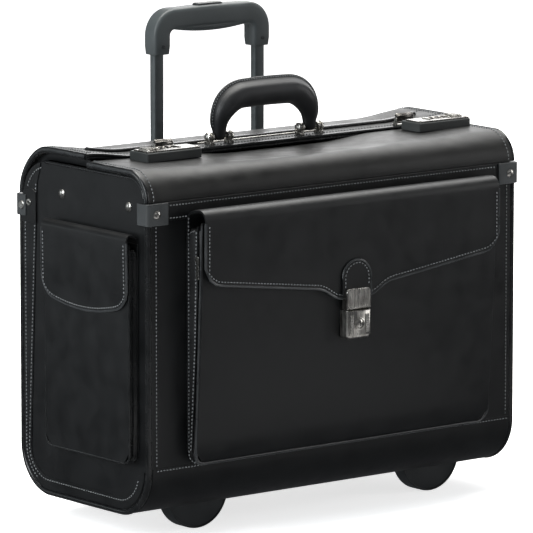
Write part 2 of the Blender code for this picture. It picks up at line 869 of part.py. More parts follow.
def make_wheel(parts, label, side, plastic, rubber):
    """A rear wheel, half sunk in a housing that closes the cut in the case's lower back edge."""
    low, high = wheel_housing_box(side)
    housing = finish(f"wheel_housing_{label}", box_mesh(low, high), (0, 0, 0), plastic, parts)
    wall = 2.4 * MM
    cutter = box_mesh(
        (low[0] + wall, low[1] + wall, low[2] - 5 * MM),
        (high[0] - wall, high[1] + 5 * MM, high[2] - wall),
    )
    cut(housing, [cutter])
    centre = Vector((side * WHEEL_X, WHEEL_Y, WHEEL_RADIUS))
    half = WHEEL_WIDTH / 2
    rim = WHEEL_RADIUS - 7 * MM
    axle = 3 * MM
    tip = half + 3.6 * MM
    hub = [(-tip, axle), (-half, axle), (-half + 0.5 * MM, rim - 1.5 * MM), (-half + 2 * MM, rim)]
    hub += [(-along, radius) for along, radius in hub[::-1]]
    finish(
        f"wheel_hub_{label}",
        turned_mesh(hub, centre, 24),
        centre,
        plastic,
        parts,
        smooth=True,
    )
    tyre = finish(
        f"wheel_tyre_{label}",
        turned_mesh(
            [
                (-half, WHEEL_RADIUS - 3 * MM),
                (-half + 3 * MM, WHEEL_RADIUS),
                (half - 3 * MM, WHEEL_RADIUS),
                (half, WHEEL_RADIUS - 3 * MM),
            ],
            centre,
            36,
        ),
        centre,
        rubber,
        parts,
        smooth=True,
    )
    bore = rim + GAP
    cut(tyre, [turned_mesh([(-half - MM, bore), (half + MM, bore)], centre, 24)])


def make_foot(parts, label, side, plastic):
    """A half-round foot that the front of the case stands on."""
    centre = (side * FOOT_X[label], FOOT_RADIUS)
    top = GROUND - GAP
    start = math.degrees(math.asin((top - FOOT_RADIUS) / FOOT_RADIUS))
    finish(
        f"stand_foot_{label}",
        prism_mesh(
            arc(centre, FOOT_RADIUS, -180 - start, start, 24),
            "xz",
            FOOT_FRONT_Y + 1 * MM,
            FOOT_FRONT_Y + FOOT_THICK,
        ),
        (0, 0, 0),
        plastic,
        parts,
    )


def main():
    for old in list(bpy.data.objects):
        bpy.data.objects.remove(old, do_unlink=True)
    parts = bpy.data.objects.new("case_frame", None)
    bpy.context.collection.objects.link(parts)
    parts.location = (0, CASE_Y, 0)

    leather = material("black_leather", (0.018, 0.019, 0.020), 0.38)
    lining = material("grey_lining", (0.08, 0.08, 0.085), 0.9)
    plastic = material("black_plastic", (0.03, 0.032, 0.034), 0.45)
    rubber = material("wheel_rubber", (0.02, 0.02, 0.02), 0.8)
    nickel = material("aged_nickel", (0.32, 0.31, 0.30), 0.3, 1.0)
    dark_metal = material("black_tube", (0.03, 0.032, 0.035), 0.35, 1.0)

    make_shell(parts, leather, lining, plastic, nickel)
    make_lids(parts, leather)
    make_front_pocket(parts, leather, nickel)
    make_carry_handle(parts, leather, nickel)
    make_trolley(parts, plastic, dark_metal)
    for label, side in SIDES:
        make_side_pocket(parts, label, side, leather)
        make_combination_lock(parts, label, side, plastic, nickel)
        make_wheel(parts, label, side, plastic, rubber)
        make_foot(parts, label, side, plastic)


main()
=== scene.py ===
"""The looks of the pilot rolling flight case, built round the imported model."""

import math

import bmesh
import bpy
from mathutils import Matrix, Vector, noise


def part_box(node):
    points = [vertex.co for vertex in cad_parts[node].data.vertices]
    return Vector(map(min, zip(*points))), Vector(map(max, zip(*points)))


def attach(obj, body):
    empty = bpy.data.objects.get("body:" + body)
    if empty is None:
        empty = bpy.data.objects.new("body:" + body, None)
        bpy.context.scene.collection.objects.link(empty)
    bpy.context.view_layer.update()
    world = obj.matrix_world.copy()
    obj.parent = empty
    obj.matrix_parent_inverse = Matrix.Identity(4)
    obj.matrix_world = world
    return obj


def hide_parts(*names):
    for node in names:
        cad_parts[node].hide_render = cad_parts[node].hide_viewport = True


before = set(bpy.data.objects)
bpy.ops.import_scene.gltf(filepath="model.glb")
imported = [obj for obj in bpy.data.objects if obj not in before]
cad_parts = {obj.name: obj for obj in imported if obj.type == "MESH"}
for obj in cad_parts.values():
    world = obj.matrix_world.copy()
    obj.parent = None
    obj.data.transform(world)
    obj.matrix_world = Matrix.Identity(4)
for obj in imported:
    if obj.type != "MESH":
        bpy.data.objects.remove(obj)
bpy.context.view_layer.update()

MM = 0.001
SIDES = (("left", -1), ("right", 1))

# Places read from the frame
wrap_low, wrap_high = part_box("shell_wrap")
HALF_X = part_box("end_panel_right")[1][0]
HALF_Y = (wrap_high[1] - wrap_low[1]) / 2
CASE_Y = (wrap_high[1] + wrap_low[1]) / 2
GROUND = wrap_low[2]
FRONT_HINGE_Z = wrap_high[2]
BACK_HINGE_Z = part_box("back_hinge_strip")[1][2]
FRONT_LID_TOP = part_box("front_lid")[1][2]
BACK_LID_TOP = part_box("back_lid")[1][2]
BOTTOM_RADIUS = 46 * MM
WALL = 4 * MM
FRONT_LID_RADIUS = 27 * MM
BACK_LID_RADIUS = 42 * MM


def at(x, y, z):
    """A point in millimetres, from the middle of the case and the underside of its shell."""
    return Vector((x * MM, y * MM + CASE_Y, z * MM + GROUND))


def place(plane, u, v, along):
    """The point of a drawing plane's (u, v), in millimetres, at a distance along its normal."""
    if plane == "yz":
        return at(along, u, v)
    if plane == "xz":
        return at(u, along, v)
    return at(u, v, along)


def arc(centre, radius, start, end, steps):
    points = []
    for i in range(steps + 1):
        angle = math.radians(start + (end - start) * i / steps)
        points.append((centre[0] + radius * math.cos(angle), centre[1] + radius * math.sin(angle)))
    return points


def smooth(value):
    """0 below 0, 1 above 1, and an even ramp with soft ends between."""
    value = min(1.0, max(0.0, value))
    return value * value * (3 - 2 * value)


# ---------------------------------------------------------------- materials


def principled(name, colour, roughness, metallic=0.0, **sockets):
    made = bpy.data.materials.new(name)
    made.use_nodes = True
    shader = made.node_tree.nodes["Principled BSDF"]
    shader.inputs["Base Color"].default_value = (*colour, 1)
    shader.inputs["Roughness"].default_value = roughness
    shader.inputs["Metallic"].default_value = metallic
    for socket, value in sockets.items():
        shader.inputs[socket.replace("_", " ")].default_value = value
    return made, made.node_tree, shader


def texture(tree, kind, scale, **values):
    coords = tree.nodes.new("ShaderNodeTexCoord")
    node = tree.nodes.new(kind)
    tree.links.new(coords.outputs["Object"], node.inputs["Vector"])
    node.inputs["Scale"].default_value = scale
    for socket, value in values.items():
        node.inputs[socket].default_value = value
    return node


def map_range(tree, source, low, high, to_low, to_high):
    node = tree.nodes.new("ShaderNodeMapRange")
    node.inputs["From Min"].default_value = low
    node.inputs["From Max"].default_value = high
    node.inputs["To Min"].default_value = to_low
    node.inputs["To Max"].default_value = to_high
    tree.links.new(source, node.inputs["Value"])
    return node.outputs["Result"]


def add_bump(tree, shader, source, strength, distance):
    """A bump fed by source, stacked on any bump that the shader already has."""
    bump = tree.nodes.new("ShaderNodeBump")
    bump.inputs["Strength"].default_value = strength
    bump.inputs["Distance"].default_value = distance
    tree.links.new(source, bump.inputs["Height"])
    normal = shader.inputs["Normal"]
    if normal.is_linked:
        tree.links.new(normal.links[0].from_socket, bump.inputs["Normal"])
    tree.links.new(bump.outputs["Normal"], normal)


def vary_colour(tree, shader, source, dark, light, low=0.3, high=0.7):
    ramp = tree.nodes.new("ShaderNodeValToRGB")
    ramp.color_ramp.elements[0].position = low
    ramp.color_ramp.elements[1].position = high
    ramp.color_ramp.elements[0].color = (*dark, 1)
    ramp.color_ramp.elements[1].color = (*light, 1)
    tree.links.new(source, ramp.inputs["Fac"])
    tree.links.new(ramp.outputs["Color"], shader.inputs["Base Color"])


def leather_material(name, dark, light, rough, grain=0.16, wave=0.25):
    """Smooth black cowhide: fine pebbled grain, soft broad unevenness and slightly worn gloss."""
    made, tree, shader = principled(name, dark, rough, Specular_IOR_Level=0.42)
    shader.inputs["Sheen Weight"].default_value = 0.02
    shader.inputs["Sheen Roughness"].default_value = 0.4
    broad = texture(tree, "ShaderNodeTexNoise", 16, Detail=3)
    pebble = texture(tree, "ShaderNodeTexVoronoi", 1250)
    fine = texture(tree, "ShaderNodeTexNoise", 2600, Detail=4)
    patches = texture(tree, "ShaderNodeTexNoise", 55, Detail=5)
    vary_colour(tree, shader, patches.outputs["Fac"], dark, light)
    rough_range = map_range(tree, patches.outputs["Fac"], 0.3, 0.7, rough - 0.05, rough + 0.07)
    tree.links.new(rough_range, shader.inputs["Roughness"])
    add_bump(tree, shader, broad.outputs["Fac"], wave, 6 * MM)
    add_bump(tree, shader, pebble.outputs["Distance"], grain, 0.25 * MM)
    add_bump(tree, shader, fine.outputs["Fac"], grain * 0.7, 0.12 * MM)
    return made


def moulded_material(name, dark, light, rough, scale=1500, strength=0.2):
    """Fine spark-textured plastic or rubber."""
    made, tree, shader = principled(name, dark, rough, Specular_IOR_Level=0.45)
    speck = texture(tree, "ShaderNodeTexNoise", scale, Detail=3)
    patches = texture(tree, "ShaderNodeTexNoise", 40, Detail=4)
    vary_colour(tree, shader, patches.outputs["Fac"], dark, light)
    rough_range = map_range(tree, patches.outputs["Fac"], 0.3, 0.7, rough - 0.04, rough + 0.06)
    tree.links.new(rough_range, shader.inputs["Roughness"])
    add_bump(tree, shader, speck.outputs["Fac"], strength, 0.1 * MM)
    return made


def metal_material(name, dark, light, rough, metallic=1.0, stretch=(1, 1, 1)):
    """Plated metal with faint brushing and tarnish."""
    made, tree, shader = principled(name, dark, rough, metallic)
    coords = tree.nodes.new("ShaderNodeTexCoord")
    mapping = tree.nodes.new("ShaderNodeMapping")
    mapping.inputs["Scale"].default_value = stretch
    tree.links.new(coords.outputs["Object"], mapping.inputs["Vector"])
    brushed = tree.nodes.new("ShaderNodeTexNoise")
    brushed.inputs["Scale"].default_value = 900
    tree.links.new(mapping.outputs["Vector"], brushed.inputs["Vector"])
    tarnish = texture(tree, "ShaderNodeTexNoise", 90, Detail=4)
    vary_colour(tree, shader, tarnish.outputs["Fac"], dark, light, 0.35, 0.65)
    rough_range = map_range(tree, brushed.outputs["Fac"], 0.3, 0.7, rough - 0.08, rough + 0.12)
    tree.links.new(rough_range, shader.inputs["Roughness"])
    add_bump(tree, shader, brushed.outputs["Fac"], 0.05, 0.06 * MM)
    return made


def cloth_material(name, dark, light):
    made, tree, shader = principled(name, dark, 0.92, Specular_IOR_Level=0.2)
    shader.inputs["Sheen Weight"].default_value = 0.25
    weave = texture(tree, "ShaderNodeTexWave", 700, Distortion=1.5)
    patches = texture(tree, "ShaderNodeTexNoise", 300, Detail=3)
    vary_colour(tree, shader, patches.outputs["Fac"], dark, light)
    add_bump(tree, shader, weave.outputs["Fac"], 0.4, 0.2 * MM)
    return made


LEATHER = leather_material("black_leather", (0.0018, 0.0021, 0.0024), (0.0037, 0.0042, 0.0047),
        0.43, wave=0.16)
LID_LEATHER = leather_material("lid_leather", (0.0027, 0.0028, 0.0026), (0.0052, 0.0053, 0.0049),
        0.43, wave=0.2)
HANDLE_LEATHER = leather_material("handle_leather", (0.009, 0.0095, 0.0105),
        (0.0145, 0.015, 0.0165), 0.42, grain=0.1)
GLOSS_LEATHER = leather_material("binding_leather", (0.004, 0.0044, 0.0047),
        (0.0075, 0.008, 0.0085), 0.24, grain=0.08)
# Edge beads: black leather made several times lighter than the body leather, a painted highlight along the
# edges of the flaps, the pocket panel, the lock tab and the lid ends.
EDGE_HIGHLIGHT = leather_material("painted_edge_highlight", (0.014, 0.0155, 0.0165), (0.026, 0.028, 0.03), 0.3,
        grain=0.1)
LINING = cloth_material("grey_lining", (0.022, 0.022, 0.024), (0.035, 0.035, 0.037))
THREAD = cloth_material("stitch_thread", (0.07, 0.076, 0.08), (0.125, 0.133, 0.138))
PLASTIC = moulded_material("black_plastic", (0.010, 0.0115, 0.0125), (0.016, 0.018, 0.0195), 0.4)
GRIP_PLASTIC = moulded_material("grip_plastic", (0.036, 0.0425, 0.0445), (0.047, 0.0545, 0.057), 0.42)
CLIP_PLASTIC = moulded_material("clip_plastic", (0.022, 0.0245, 0.0255), (0.032, 0.035, 0.037), 0.36)
LOCK_PLASTIC = moulded_material("lock_plastic", (0.03, 0.033, 0.033), (0.042, 0.045, 0.045), 0.4)
RUBBER = moulded_material("wheel_rubber", (0.012, 0.012, 0.012), (0.02, 0.02, 0.02), 0.7)
NICKEL = metal_material("aged_nickel", (0.36, 0.345, 0.32), (0.66, 0.64, 0.6), 0.26,
        stretch=(0.5, 0.5, 0.03))
BRIGHT = metal_material("bright_nickel", (0.42, 0.41, 0.38), (0.72, 0.70, 0.66), 0.27)
GUNMETAL = metal_material("gunmetal", (0.16, 0.15, 0.14), (0.42, 0.40, 0.375), 0.22,
        stretch=(6, 1, 0.15))
TUBE = metal_material("black_tube", (0.05, 0.058, 0.06), (0.066, 0.075, 0.078), 0.4, 0.3,
        (6, 6, 0.1))

# ---------------------------------------------------------------- mesh tools


def add(name, bm, material, body, cad=(), bevel=0.0, segments=2,
        smooth_angle=40, subdivide=0, second=None):
    """Turn a bmesh into a piece riding on a body, in place of the CAD nodes named in cad."""
    bmesh.ops.recalc_face_normals(bm, faces=bm.faces)
    mesh = bpy.data.meshes.new(name)
    bm.to_mesh(mesh)
    bm.free()
    mesh.shade_smooth()
    mesh.set_sharp_from_angle(angle=math.radians(smooth_angle))
    mesh.materials.append(material)
    if second:
        mesh.materials.append(second)
    piece = bpy.data.objects.new(name, mesh)
    bpy.context.collection.objects.link(piece)
    if bevel:
        modifier = piece.modifiers.new("edge", "BEVEL")
        modifier.width = bevel * MM
        modifier.segments = segments
        modifier.limit_method = "ANGLE"
        modifier.angle_limit = math.radians(42)
        modifier.harden_normals = True
    if subdivide:
        modifier = piece.modifiers.new("soft", "SUBSURF")
        modifier.levels = subdivide
        modifier.render_levels = subdivide
    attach(piece, body)
    if cad:
        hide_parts(*cad)
    return piece


def paint(name, material):
    """Give a CAD node that keeps its own shape a material."""
    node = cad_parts[name]
    node.data.materials.clear()
    node.data.materials.append(material)


def box_mm(name):
    """A node's or body's box in millimetres, in the coordinates that at() takes."""
    return [(x / MM, (y - CASE_Y) / MM, (z - GROUND) / MM) for x, y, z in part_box(name)]


def loft(rings, caps=True):
    """A closed body through rings of points, each ring a loop of the same length."""
    bm = bmesh.new()
    made = [[bm.verts.new(point) for point in ring] for ring in rings]
    count = len(rings[0])
    for one, two in zip(made, made[1:]):
        for i in range(count):
            bm.faces.new((one[i], one[(i + 1) % count], two[(i + 1) % count], two[i]))
    if caps:
        bm.faces.new(made[0])
        bm.faces.new(made[-1])
    else:
        for i in range(count):
            one, two = made[-1], made[0]
            bm.faces.new((one[i], one[(i + 1) % count], two[(i + 1) % count], two[i]))
    return bm


def prism(outline, plane, low, high, steps=1):
    rings = []
    for i in range(steps + 1):
        along = low + (high - low) * i / steps
        rings.append([place(plane, u, v, along) for u, v in outline])
    return loft(rings)


def block(low, high):
    outline = [(low[0], low[1]), (high[0], low[1]), (high[0], high[1]), (low[0], high[1])]
    return prism(outline, "xy", low[2], high[2])


def joined(meshes):
    """Several bmeshes in one, as separate shells."""
    whole = bmesh.new()
    for bm in meshes:
        copy = bpy.data.meshes.new("part")
        bm.to_mesh(copy)
        bm.free()
        whole.from_mesh(copy)
        bpy.data.meshes.remove(copy)
    return whole


def turned(profile, centre, axis, sides=32):
    """A body turned about an axis (x, y or z) through centre, from (along, radius) pairs in mm."""
    order = {"x": (0, 1, 2), "y": (1, 2, 0), "z": (2, 0, 1)}[axis]
    rings = []
    for along, radius in profile:
        ring = []
        for i in range(sides):
            angle = 2 * math.pi * i / sides
            offset = [0.0, 0.0, 0.0]
            offset[order[0]] = along * MM
            offset[order[1]] = radius * MM * math.cos(angle)
            offset[order[2]] = radius * MM * math.sin(angle)
            ring.append(centre + Vector(offset))
        rings.append(ring)
    return loft(rings)


def frames_along(path, up):
    """A tangent, side and up vector at each point of a path, with up kept near the given one."""
    found = []
    for i, point in enumerate(path):
        tangent = (path[min(i + 1, len(path) - 1)] - path[max(i - 1, 0)]).normalized()
        hint = up[i] if isinstance(up, list) else up
        side = tangent.cross(hint).normalized()
        found.append((point, tangent, side, side.cross(tangent).normalized()))
    return found


def sweep(path, section, up, scale=None):
    """A section of (side, up) pairs in mm, swept along a path of points."""
    rings = []
    for i, (point, _, side, rise) in enumerate(frames_along(path, up)):
        size = scale[i] if scale else 1.0
        rings.append([point + (side * s + rise * r) * size * MM for s, r in section])
    return loft(rings)


def circle(radius, sides=12):
    return arc((0, 0), radius, 0, 360 - 360 / sides, sides - 1)


def rounded(half_u, half_v, radius, steps=4):
    """A rounded rectangle's outline about the origin."""
    points = []
    for u, v, start in ((1, 1, 0), (-1, 1, 90), (-1, -1, 180), (1, -1, 270)):
        centre = (u * (half_u - radius), v * (half_v - radius))
        points += arc(centre, radius, start, start + 90, steps)
    return points


def resample(path, step):
    """Points evenly spaced along a path, step metres apart."""
    lengths = [0.0]
    for a, b in zip(path, path[1:]):
        lengths.append(lengths[-1] + (b - a).length)
    count = max(1, round(lengths[-1] / step))
    points = []
    segment = 0
    for i in range(count + 1):
        along = lengths[-1] * i / count
        while segment < len(path) - 2 and lengths[segment + 1] < along:
            segment += 1
        span = lengths[segment + 1] - lengths[segment]
        points.append(path[segment].lerp(path[segment + 1], (along - lengths[segment]) / max(span, 1e-9)))
    return points


def thick_sheet(points, thickness):
    """A closed sheet from a grid of surface points, thickened in mm away from its normal."""
    rows = len(points)
    columns = len(points[0])
    backs = []
    for i in range(rows):
        back = []
        for j in range(columns):
            along = points[min(i + 1, rows - 1)][j] - points[max(i - 1, 0)][j]
            across = points[i][min(j + 1, columns - 1)] - points[i][max(j - 1, 0)]
            back.append(points[i][j] - along.cross(across).normalized() * thickness * MM)
        backs.append(back)
    bm = bmesh.new()
    front = [[bm.verts.new(point) for point in row] for row in points]
    rear = [[bm.verts.new(point) for point in row] for row in backs]
    for i in range(rows - 1):
        for j in range(columns - 1):
            bm.faces.new((front[i][j], front[i + 1][j], front[i + 1][j + 1], front[i][j + 1]))
            bm.faces.new((rear[i][j], rear[i][j + 1], rear[i + 1][j + 1], rear[i + 1][j]))
    for i in range(rows - 1):
        for j in (0, columns - 1):
            bm.faces.new((front[i][j], front[i + 1][j], rear[i + 1][j], rear[i][j]))
    for j in range(columns - 1):
        for i in (0, rows - 1):
            bm.faces.new((front[i][j], front[i][j + 1], rear[i][j + 1], rear[i][j]))
    return bm


stitch_rows = {}


def stitch(body, path, normal, pitch=3.7):
    """Sew a row of stitches along a path of points on a surface with the given normal."""
    points = resample(path, pitch * MM / 2)
    for i in range(1, len(points) - 1, 2):
        tangent = points[i + 1] - points[i - 1]
        length = tangent.length * 0.62
        hint = normal(points[i]) if callable(normal) else normal
        stitch_rows.setdefault(body, []).append((points[i], tangent.normalized(), hint, length))


def sew_stitches():
    """One mesh of threads for each body, each stitch a short spindle pressed into the leather."""
    radius = 0.62 * MM
    for body, stitches in stitch_rows.items():
        bm = bmesh.new()
        for centre, tangent, normal, length in stitches:
            side = tangent.cross(normal).normalized()
            centre = centre + normal * radius * 0.4
            tips = [bm.verts.new(centre + tangent * length * 0.5 * end) for end in (-1, 1)]
            rings = []
            for end in (-0.28, 0.28):
                ring = []
                for k in range(6):
                    angle = math.pi * k / 3
                    offset = side * math.cos(angle) + normal * math.sin(angle)
                    ring.append(bm.verts.new(centre + tangent * length * end + offset * radius))
                rings.append(ring)
            for k in range(6):
                n = (k + 1) % 6
                bm.faces.new((tips[0], rings[0][n], rings[0][k]))
                bm.faces.new((rings[0][k], rings[0][n], rings[1][n], rings[1][k]))
                bm.faces.new((tips[1], rings[1][k], rings[1][n]))
        add(f"stitches_{body}", bm, THREAD, body, smooth_angle=80)


def ripple(point, amount, scale=14.0):
    """A small smooth unevenness, in metres, for a point of a leather surface."""
    return noise.noise(point * scale) * amount * MM


# ---------------------------------------------------------------- body


HX = HALF_X / MM
HY = HALF_Y / MM
FRONT_Z = (FRONT_HINGE_Z - GROUND) / MM
BACK_Z = (BACK_HINGE_Z - GROUND) / MM
RADIUS = BOTTOM_RADIUS / MM


def side_outline(inset, front_z=FRONT_Z, back_z=BACK_Z, steps=14):
    """The case's side outline: down the front, round the bottom and up the back."""
    front = -HY + inset
    radius = RADIUS - inset
    points = [(front, front_z)]
    points += arc((-HY + RADIUS, RADIUS), radius, 180, 270, steps)
    points += arc((HY - RADIUS, RADIUS), radius, 270, 360, steps)
    points.append((-front, back_z))
    return points


def make_body():
    """The bent board, covered outside in leather and lined inside."""
    outer = side_outline(0)
    inner = side_outline(WALL / MM)[::-1]
    bm = prism(outer + inner, "yz", -(HX - 4.3), HX - 4.3, 30)
    wheel_wells(bm)


def wheel_wells(bm):
    """Cut the wheels' housings out of the body, as the CAD solid is cut."""
    wrap = add("body_wrap", bm, LEATHER, "case", cad=("shell_wrap",), second=LINING)
    for label, _ in SIDES:
        low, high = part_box(f"wheel_housing_{label}")
        low = [value - 0.3 * MM for value in low]
        high = [value + 0.3 * MM for value in high]
        high[1] += 10 * MM
        low[2] -= 10 * MM
        mesh = bmesh.new()
        bmesh.ops.create_cube(mesh, size=1.0)
        size = [h - l for l, h in zip(low, high)]
        centre = [(h + l) / 2 for l, h in zip(low, high)]
        bmesh.ops.scale(mesh, vec=size, verts=mesh.verts)
        bmesh.ops.translate(mesh, vec=centre, verts=mesh.verts)
        data = bpy.data.meshes.new("well")
        mesh.to_mesh(data)
        mesh.free()
        tool = bpy.data.objects.new("well", data)
        bpy.context.collection.objects.link(tool)
        modifier = wrap.modifiers.new("well", "BOOLEAN")
        modifier.object = tool
        bpy.context.view_layer.update()
        cut = bpy.data.meshes.new_from_object(wrap.evaluated_get(bpy.context.evaluated_depsgraph_get()))
        wrap.modifiers.clear()
        wrap.data = cut
        bpy.data.objects.remove(tool)
    inside_y = HALF_Y - WALL * 0.75
    for face in wrap.data.polygons:
        centre = face.center
        inside = abs(centre.y - CASE_Y) < inside_y and centre.z > GROUND + WALL * 0.75
        corner = Vector((abs(centre.y - CASE_Y) - HALF_Y + BOTTOM_RADIUS, centre.z - GROUND - BOTTOM_RADIUS))
        if corner.x > 0 and corner.y < 0:
            inside = corner.length < BOTTOM_RADIUS - WALL * 0.75
        face.material_index = 1 if inside else 0


def make_end(label, side):
    """An end board with its stitched borders, a patch, rivets and a bound top edge; the left one has an
    eyelet.
    """
    inset = 4.2
    outline = side_outline(inset)[1:-1]
    top = (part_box(f"end_panel_{label}")[1][2] - GROUND) / MM
    back_radius = BACK_LID_RADIUS / MM - 6.4
    front_radius = FRONT_LID_RADIUS / MM - 6.4
    outline += [(HY - inset, 270)]
    outline += arc((HY - BACK_LID_RADIUS / MM, top - back_radius), back_radius, 5, 90, 12)
    outline += arc((-HY + FRONT_LID_RADIUS / MM, top - front_radius), front_radius, 90, 175, 12)
    outline += [(-HY + inset, 270)]
    add(f"end_leather_{label}", prism(outline, "yz", side * (HX - 4), side * HX), LEATHER, "case",
            cad=(f"end_panel_{label}",), bevel=0.9)
    outer = side_outline(6.0)[1:]
    outer = [point for point in outer if point[0] > -HY + 6.5 or point[1] < 50]
    outer += arc((HY - BACK_LID_RADIUS / MM, top - back_radius), back_radius - 0.8, 12, 78, 8)
    inner = [(68, top - 1.5), (70, 318), (74, 306)]
    inner += arc((HY - RADIUS, RADIUS), 29, 0, -90, 10)
    inner += arc((-HY + RADIUS, RADIUS), 30, 270, 190, 10)
    x = side * HX
    add(f"end_border_{label}", prism(outer + inner, "yz", x - side * 0.5, x + side * 0.9), LEATHER,
            "case", bevel=0.45)
    face = x + side * 0.9
    normal = Vector((side, 0, 0))
    row = [(75.4, 306)] + arc((HY - RADIUS, RADIUS), 31.4, 0, -90, 14)
    row += arc((-HY + RADIUS, RADIUS), 32.4, 270, 192, 14)
    stitch("case", [place("yz", u, v, face) for u, v in row], normal)
    patch = [(75, 266), (97.5, 266), (97.5, 290), (95, 297), (80, 300), (75, 297)]
    add(f"end_patch_{label}", prism(patch, "yz", face - side * 0.4, face + side * 1.3), LEATHER,
            "case", bevel=0.5)
    if label == "left":
        ring = [(0.0, 3.6), (0.6, 3.6), (1.0, 2.9), (0.8, 1.7), (-0.2, 1.5)]
        eyelet = turned([(side * a, r) for a, r in ring], at(face + side * 1.2, 86, 285.7), "x", 20)
        add(f"end_eyelet_{label}", eyelet, BRIGHT, "case")
    row = [(HY - 10, BACK_Z - 4)] + arc((HY - RADIUS, RADIUS), RADIUS - 10, 0, -60, 10)
    stitch("case", [place("yz", u, v, face) for u, v in row], normal)
    row = [(u, v) for u, v in outer if v > 300]
    row = [(u - 4.5, v - 4) for u, v in row]
    stitch("case", [place("yz", u, v, face) for u, v in row], normal)
    for y in (34, -73):
        profile = [(-0.6, 4.6), (0.5, 4.6), (1.2, 4.0), (1.7, 2.6), (1.9, 0.8)]
        dome = turned([(side * a, r) for a, r in profile], at(side * HX, y, 300), "x", 20)
        add(f"end_rivet_{label}_{'back' if y > 0 else 'front'}", dome, BRIGHT, "case")
    top_row = [(60, top - 0.4), (0, top - 0.4), (-68, top - 0.4)]
    top_row += arc((-HY + FRONT_LID_RADIUS / MM, top - front_radius), front_radius - 0.2, 90, 172, 10)
    path = [place("yz", u, v, side * (HX - 0.6)) for u, v in top_row]
    add(f"end_top_binding_{label}", sweep(path, circle(1.7, 10), Vector((side, 0, 0))),
            GLOSS_LEATHER, "case")


def make_piping(label, side):
    line = side_outline(1.7, FRONT_Z - 0.5, BACK_Z - 0.5, 20)
    path = [place("yz", u, v, side * (HX - 1.6)) for u, v in line]
    add(f"piping_{label}", sweep(path, circle(2.9, 14), Vector((1, 0, 0))), GLOSS_LEATHER, "case",
            cad=(f"edge_piping_{label}",))
    row = [(side * (HX - 9.5), v) for v in (FRONT_Z - 22, 49)]
    stitch("case", [place("xz", u, v, -HY) for u, v in row], Vector((0, -1, 0)))
    row = [(side * (HX - 9.5), v) for v in (BACK_Z - 22, 49)]
    stitch("case", [place("xz", u, v, HY) for u, v in row], Vector((0, 1, 0)))


def make_corner_patches():
    """The leather capping along the lower front and back edges, and its seam."""
    for name, face, middle in (("front", -1, True), ("back", 1, False)):
        outline = [(face * (HY + 0.5), 49.5)]
        turn = arc((-HY + RADIUS, RADIUS), RADIUS + 0.5, 180, 262, 14)
        outline += [(face * -u, v) for u, v in turn]
        back = arc((-HY + RADIUS, RADIUS), RADIUS - 0.6, 262, 180, 14)
        outline += [(face * -u, v) for u, v in back]
        outline += [(face * (HY - 0.6), 49.5)]
        spans = ((-HX + 5, HX - 5),) if middle else ((-HX + 5, -168), (-132, 132), (168, HX - 5))
        meshes = [prism(outline, "yz", low, high, 8) for low, high in spans]
        add(f"lower_capping_{name}", joined(meshes), LEATHER, "case", bevel=0.3)
        for low, high in spans:
            row = [place("xz", u, 47.0, face * (HY + 0.5)) for u in (low + 4, high - 2)]
            stitch("case", row, Vector((0, face, 0)))


def make_hinge_strips():
    """The stitched strips that join the lids to the body."""
    for name, face, z in (("front", -1, FRONT_Z), ("back", 1, BACK_Z)):
        low = z - 18
        outline = [
            (face * (HY + 0.2), low), (face * (HY + 1.2), low), (face * (HY + 1.7), low + 2),
            (face * (HY + 1.7), z - 0.2), (face * (HY + 0.2), z - 0.2),
        ]
        add(f"hinge_strip_{name}", prism(outline, "yz", -(HX - 5), HX - 5, 20), LEATHER, "case",
                cad=(f"{name}_hinge_strip",), bevel=0.3)
        for height in (low + 2.6, z - 3.4):
            row = [place("xz", u, height, face * (HY + 1.7)) for u in (-(HX - 24), HX - 24)]
            stitch("case", row, Vector((0, face, 0)))


def make_clip(name, side, face, z):
    """A moulded corner over the piping's end, with its rivet."""
    inner_x = HX + 1.5
    inner_y = HY + 2.0
    thick = 1.9
    outline = [(HX - 22, inner_y)]
    outline += [(inner_x - 3, inner_y), (inner_x, inner_y - 3)]
    outline += [(inner_x, HY - 13), (inner_x + thick, HY - 13)]
    outline += arc((inner_x - 2.5, inner_y - 2.5), thick + 2.5, 0, 90, 6)
    outline += [(HX - 22, inner_y + thick)]
    outline = [(side * x, face * y) for x, y in outline]
    add(name, prism(outline, "xy", z - 21.5, z - 0.3), CLIP_PLASTIC, "case",
            cad=(name,), bevel=0.7, segments=3)
    centre = at(side * (HX - 8), face * (inner_y + thick), z - 11)
    profile = [(-0.5, 4.3), (0.4, 4.3), (1.2, 3.5), (1.7, 2.2), (1.9, 0.8)]
    rivet = turned([(face * a, r) for a, r in profile], centre, "y", 18)
    add(f"{name}_rivet", rivet, BRIGHT, "case")
    centre = at(side * (inner_x + thick), face * (HY - 7), z - 11)
    rivet = turned([(side * a, r) for a, r in profile[:3]], centre, "x", 18)
    if face > 0:
        add(f"{name}_end_rivet", rivet, BRIGHT, "case")
    else:
        rivet.free()


# ---------------------------------------------------------------- lids


def lid_profile(face, hinge_z, radius, top, edge_y, thick, steps=16):
    """A lid's outer and inner lines from its hinge to its free edge, as (y, z) pairs."""
    centre = (face * (HY - radius), top - radius)
    turn = arc((0, 0), 1.0, 0, 90, steps)
    outer = [(face * HY, hinge_z)]
    inner = [(face * (HY - thick), hinge_z)]
    outer += [(centre[0] + face * radius * u, centre[1] + radius * v) for u, v in turn]
    inner += [
        (centre[0] + face * (radius - thick) * u, centre[1] + (radius - thick) * v) for u, v in turn
    ]
    for i in range(1, 9):
        y = centre[0] + (edge_y - centre[0]) * i / 8
        outer.append((y, top))
        inner.append((y, top - thick))
    return outer, inner


def lid_solid(outer, inner, lower, half_x, columns=64):
    """A lid swept along X, with every point's height lowered by lower(x, how far in from hinge)."""
    loop = [(point, i / (len(outer) - 1)) for i, point in enumerate(outer)]
    loop += [(point, i / (len(inner) - 1)) for i, point in list(enumerate(inner))[::-1]]
    rings = []
    for k in range(columns + 1):
        x = -half_x + 2 * half_x * k / columns
        rings.append([at(x, y, z - lower(x, share)) for (y, z), share in loop])
    return loft(rings)


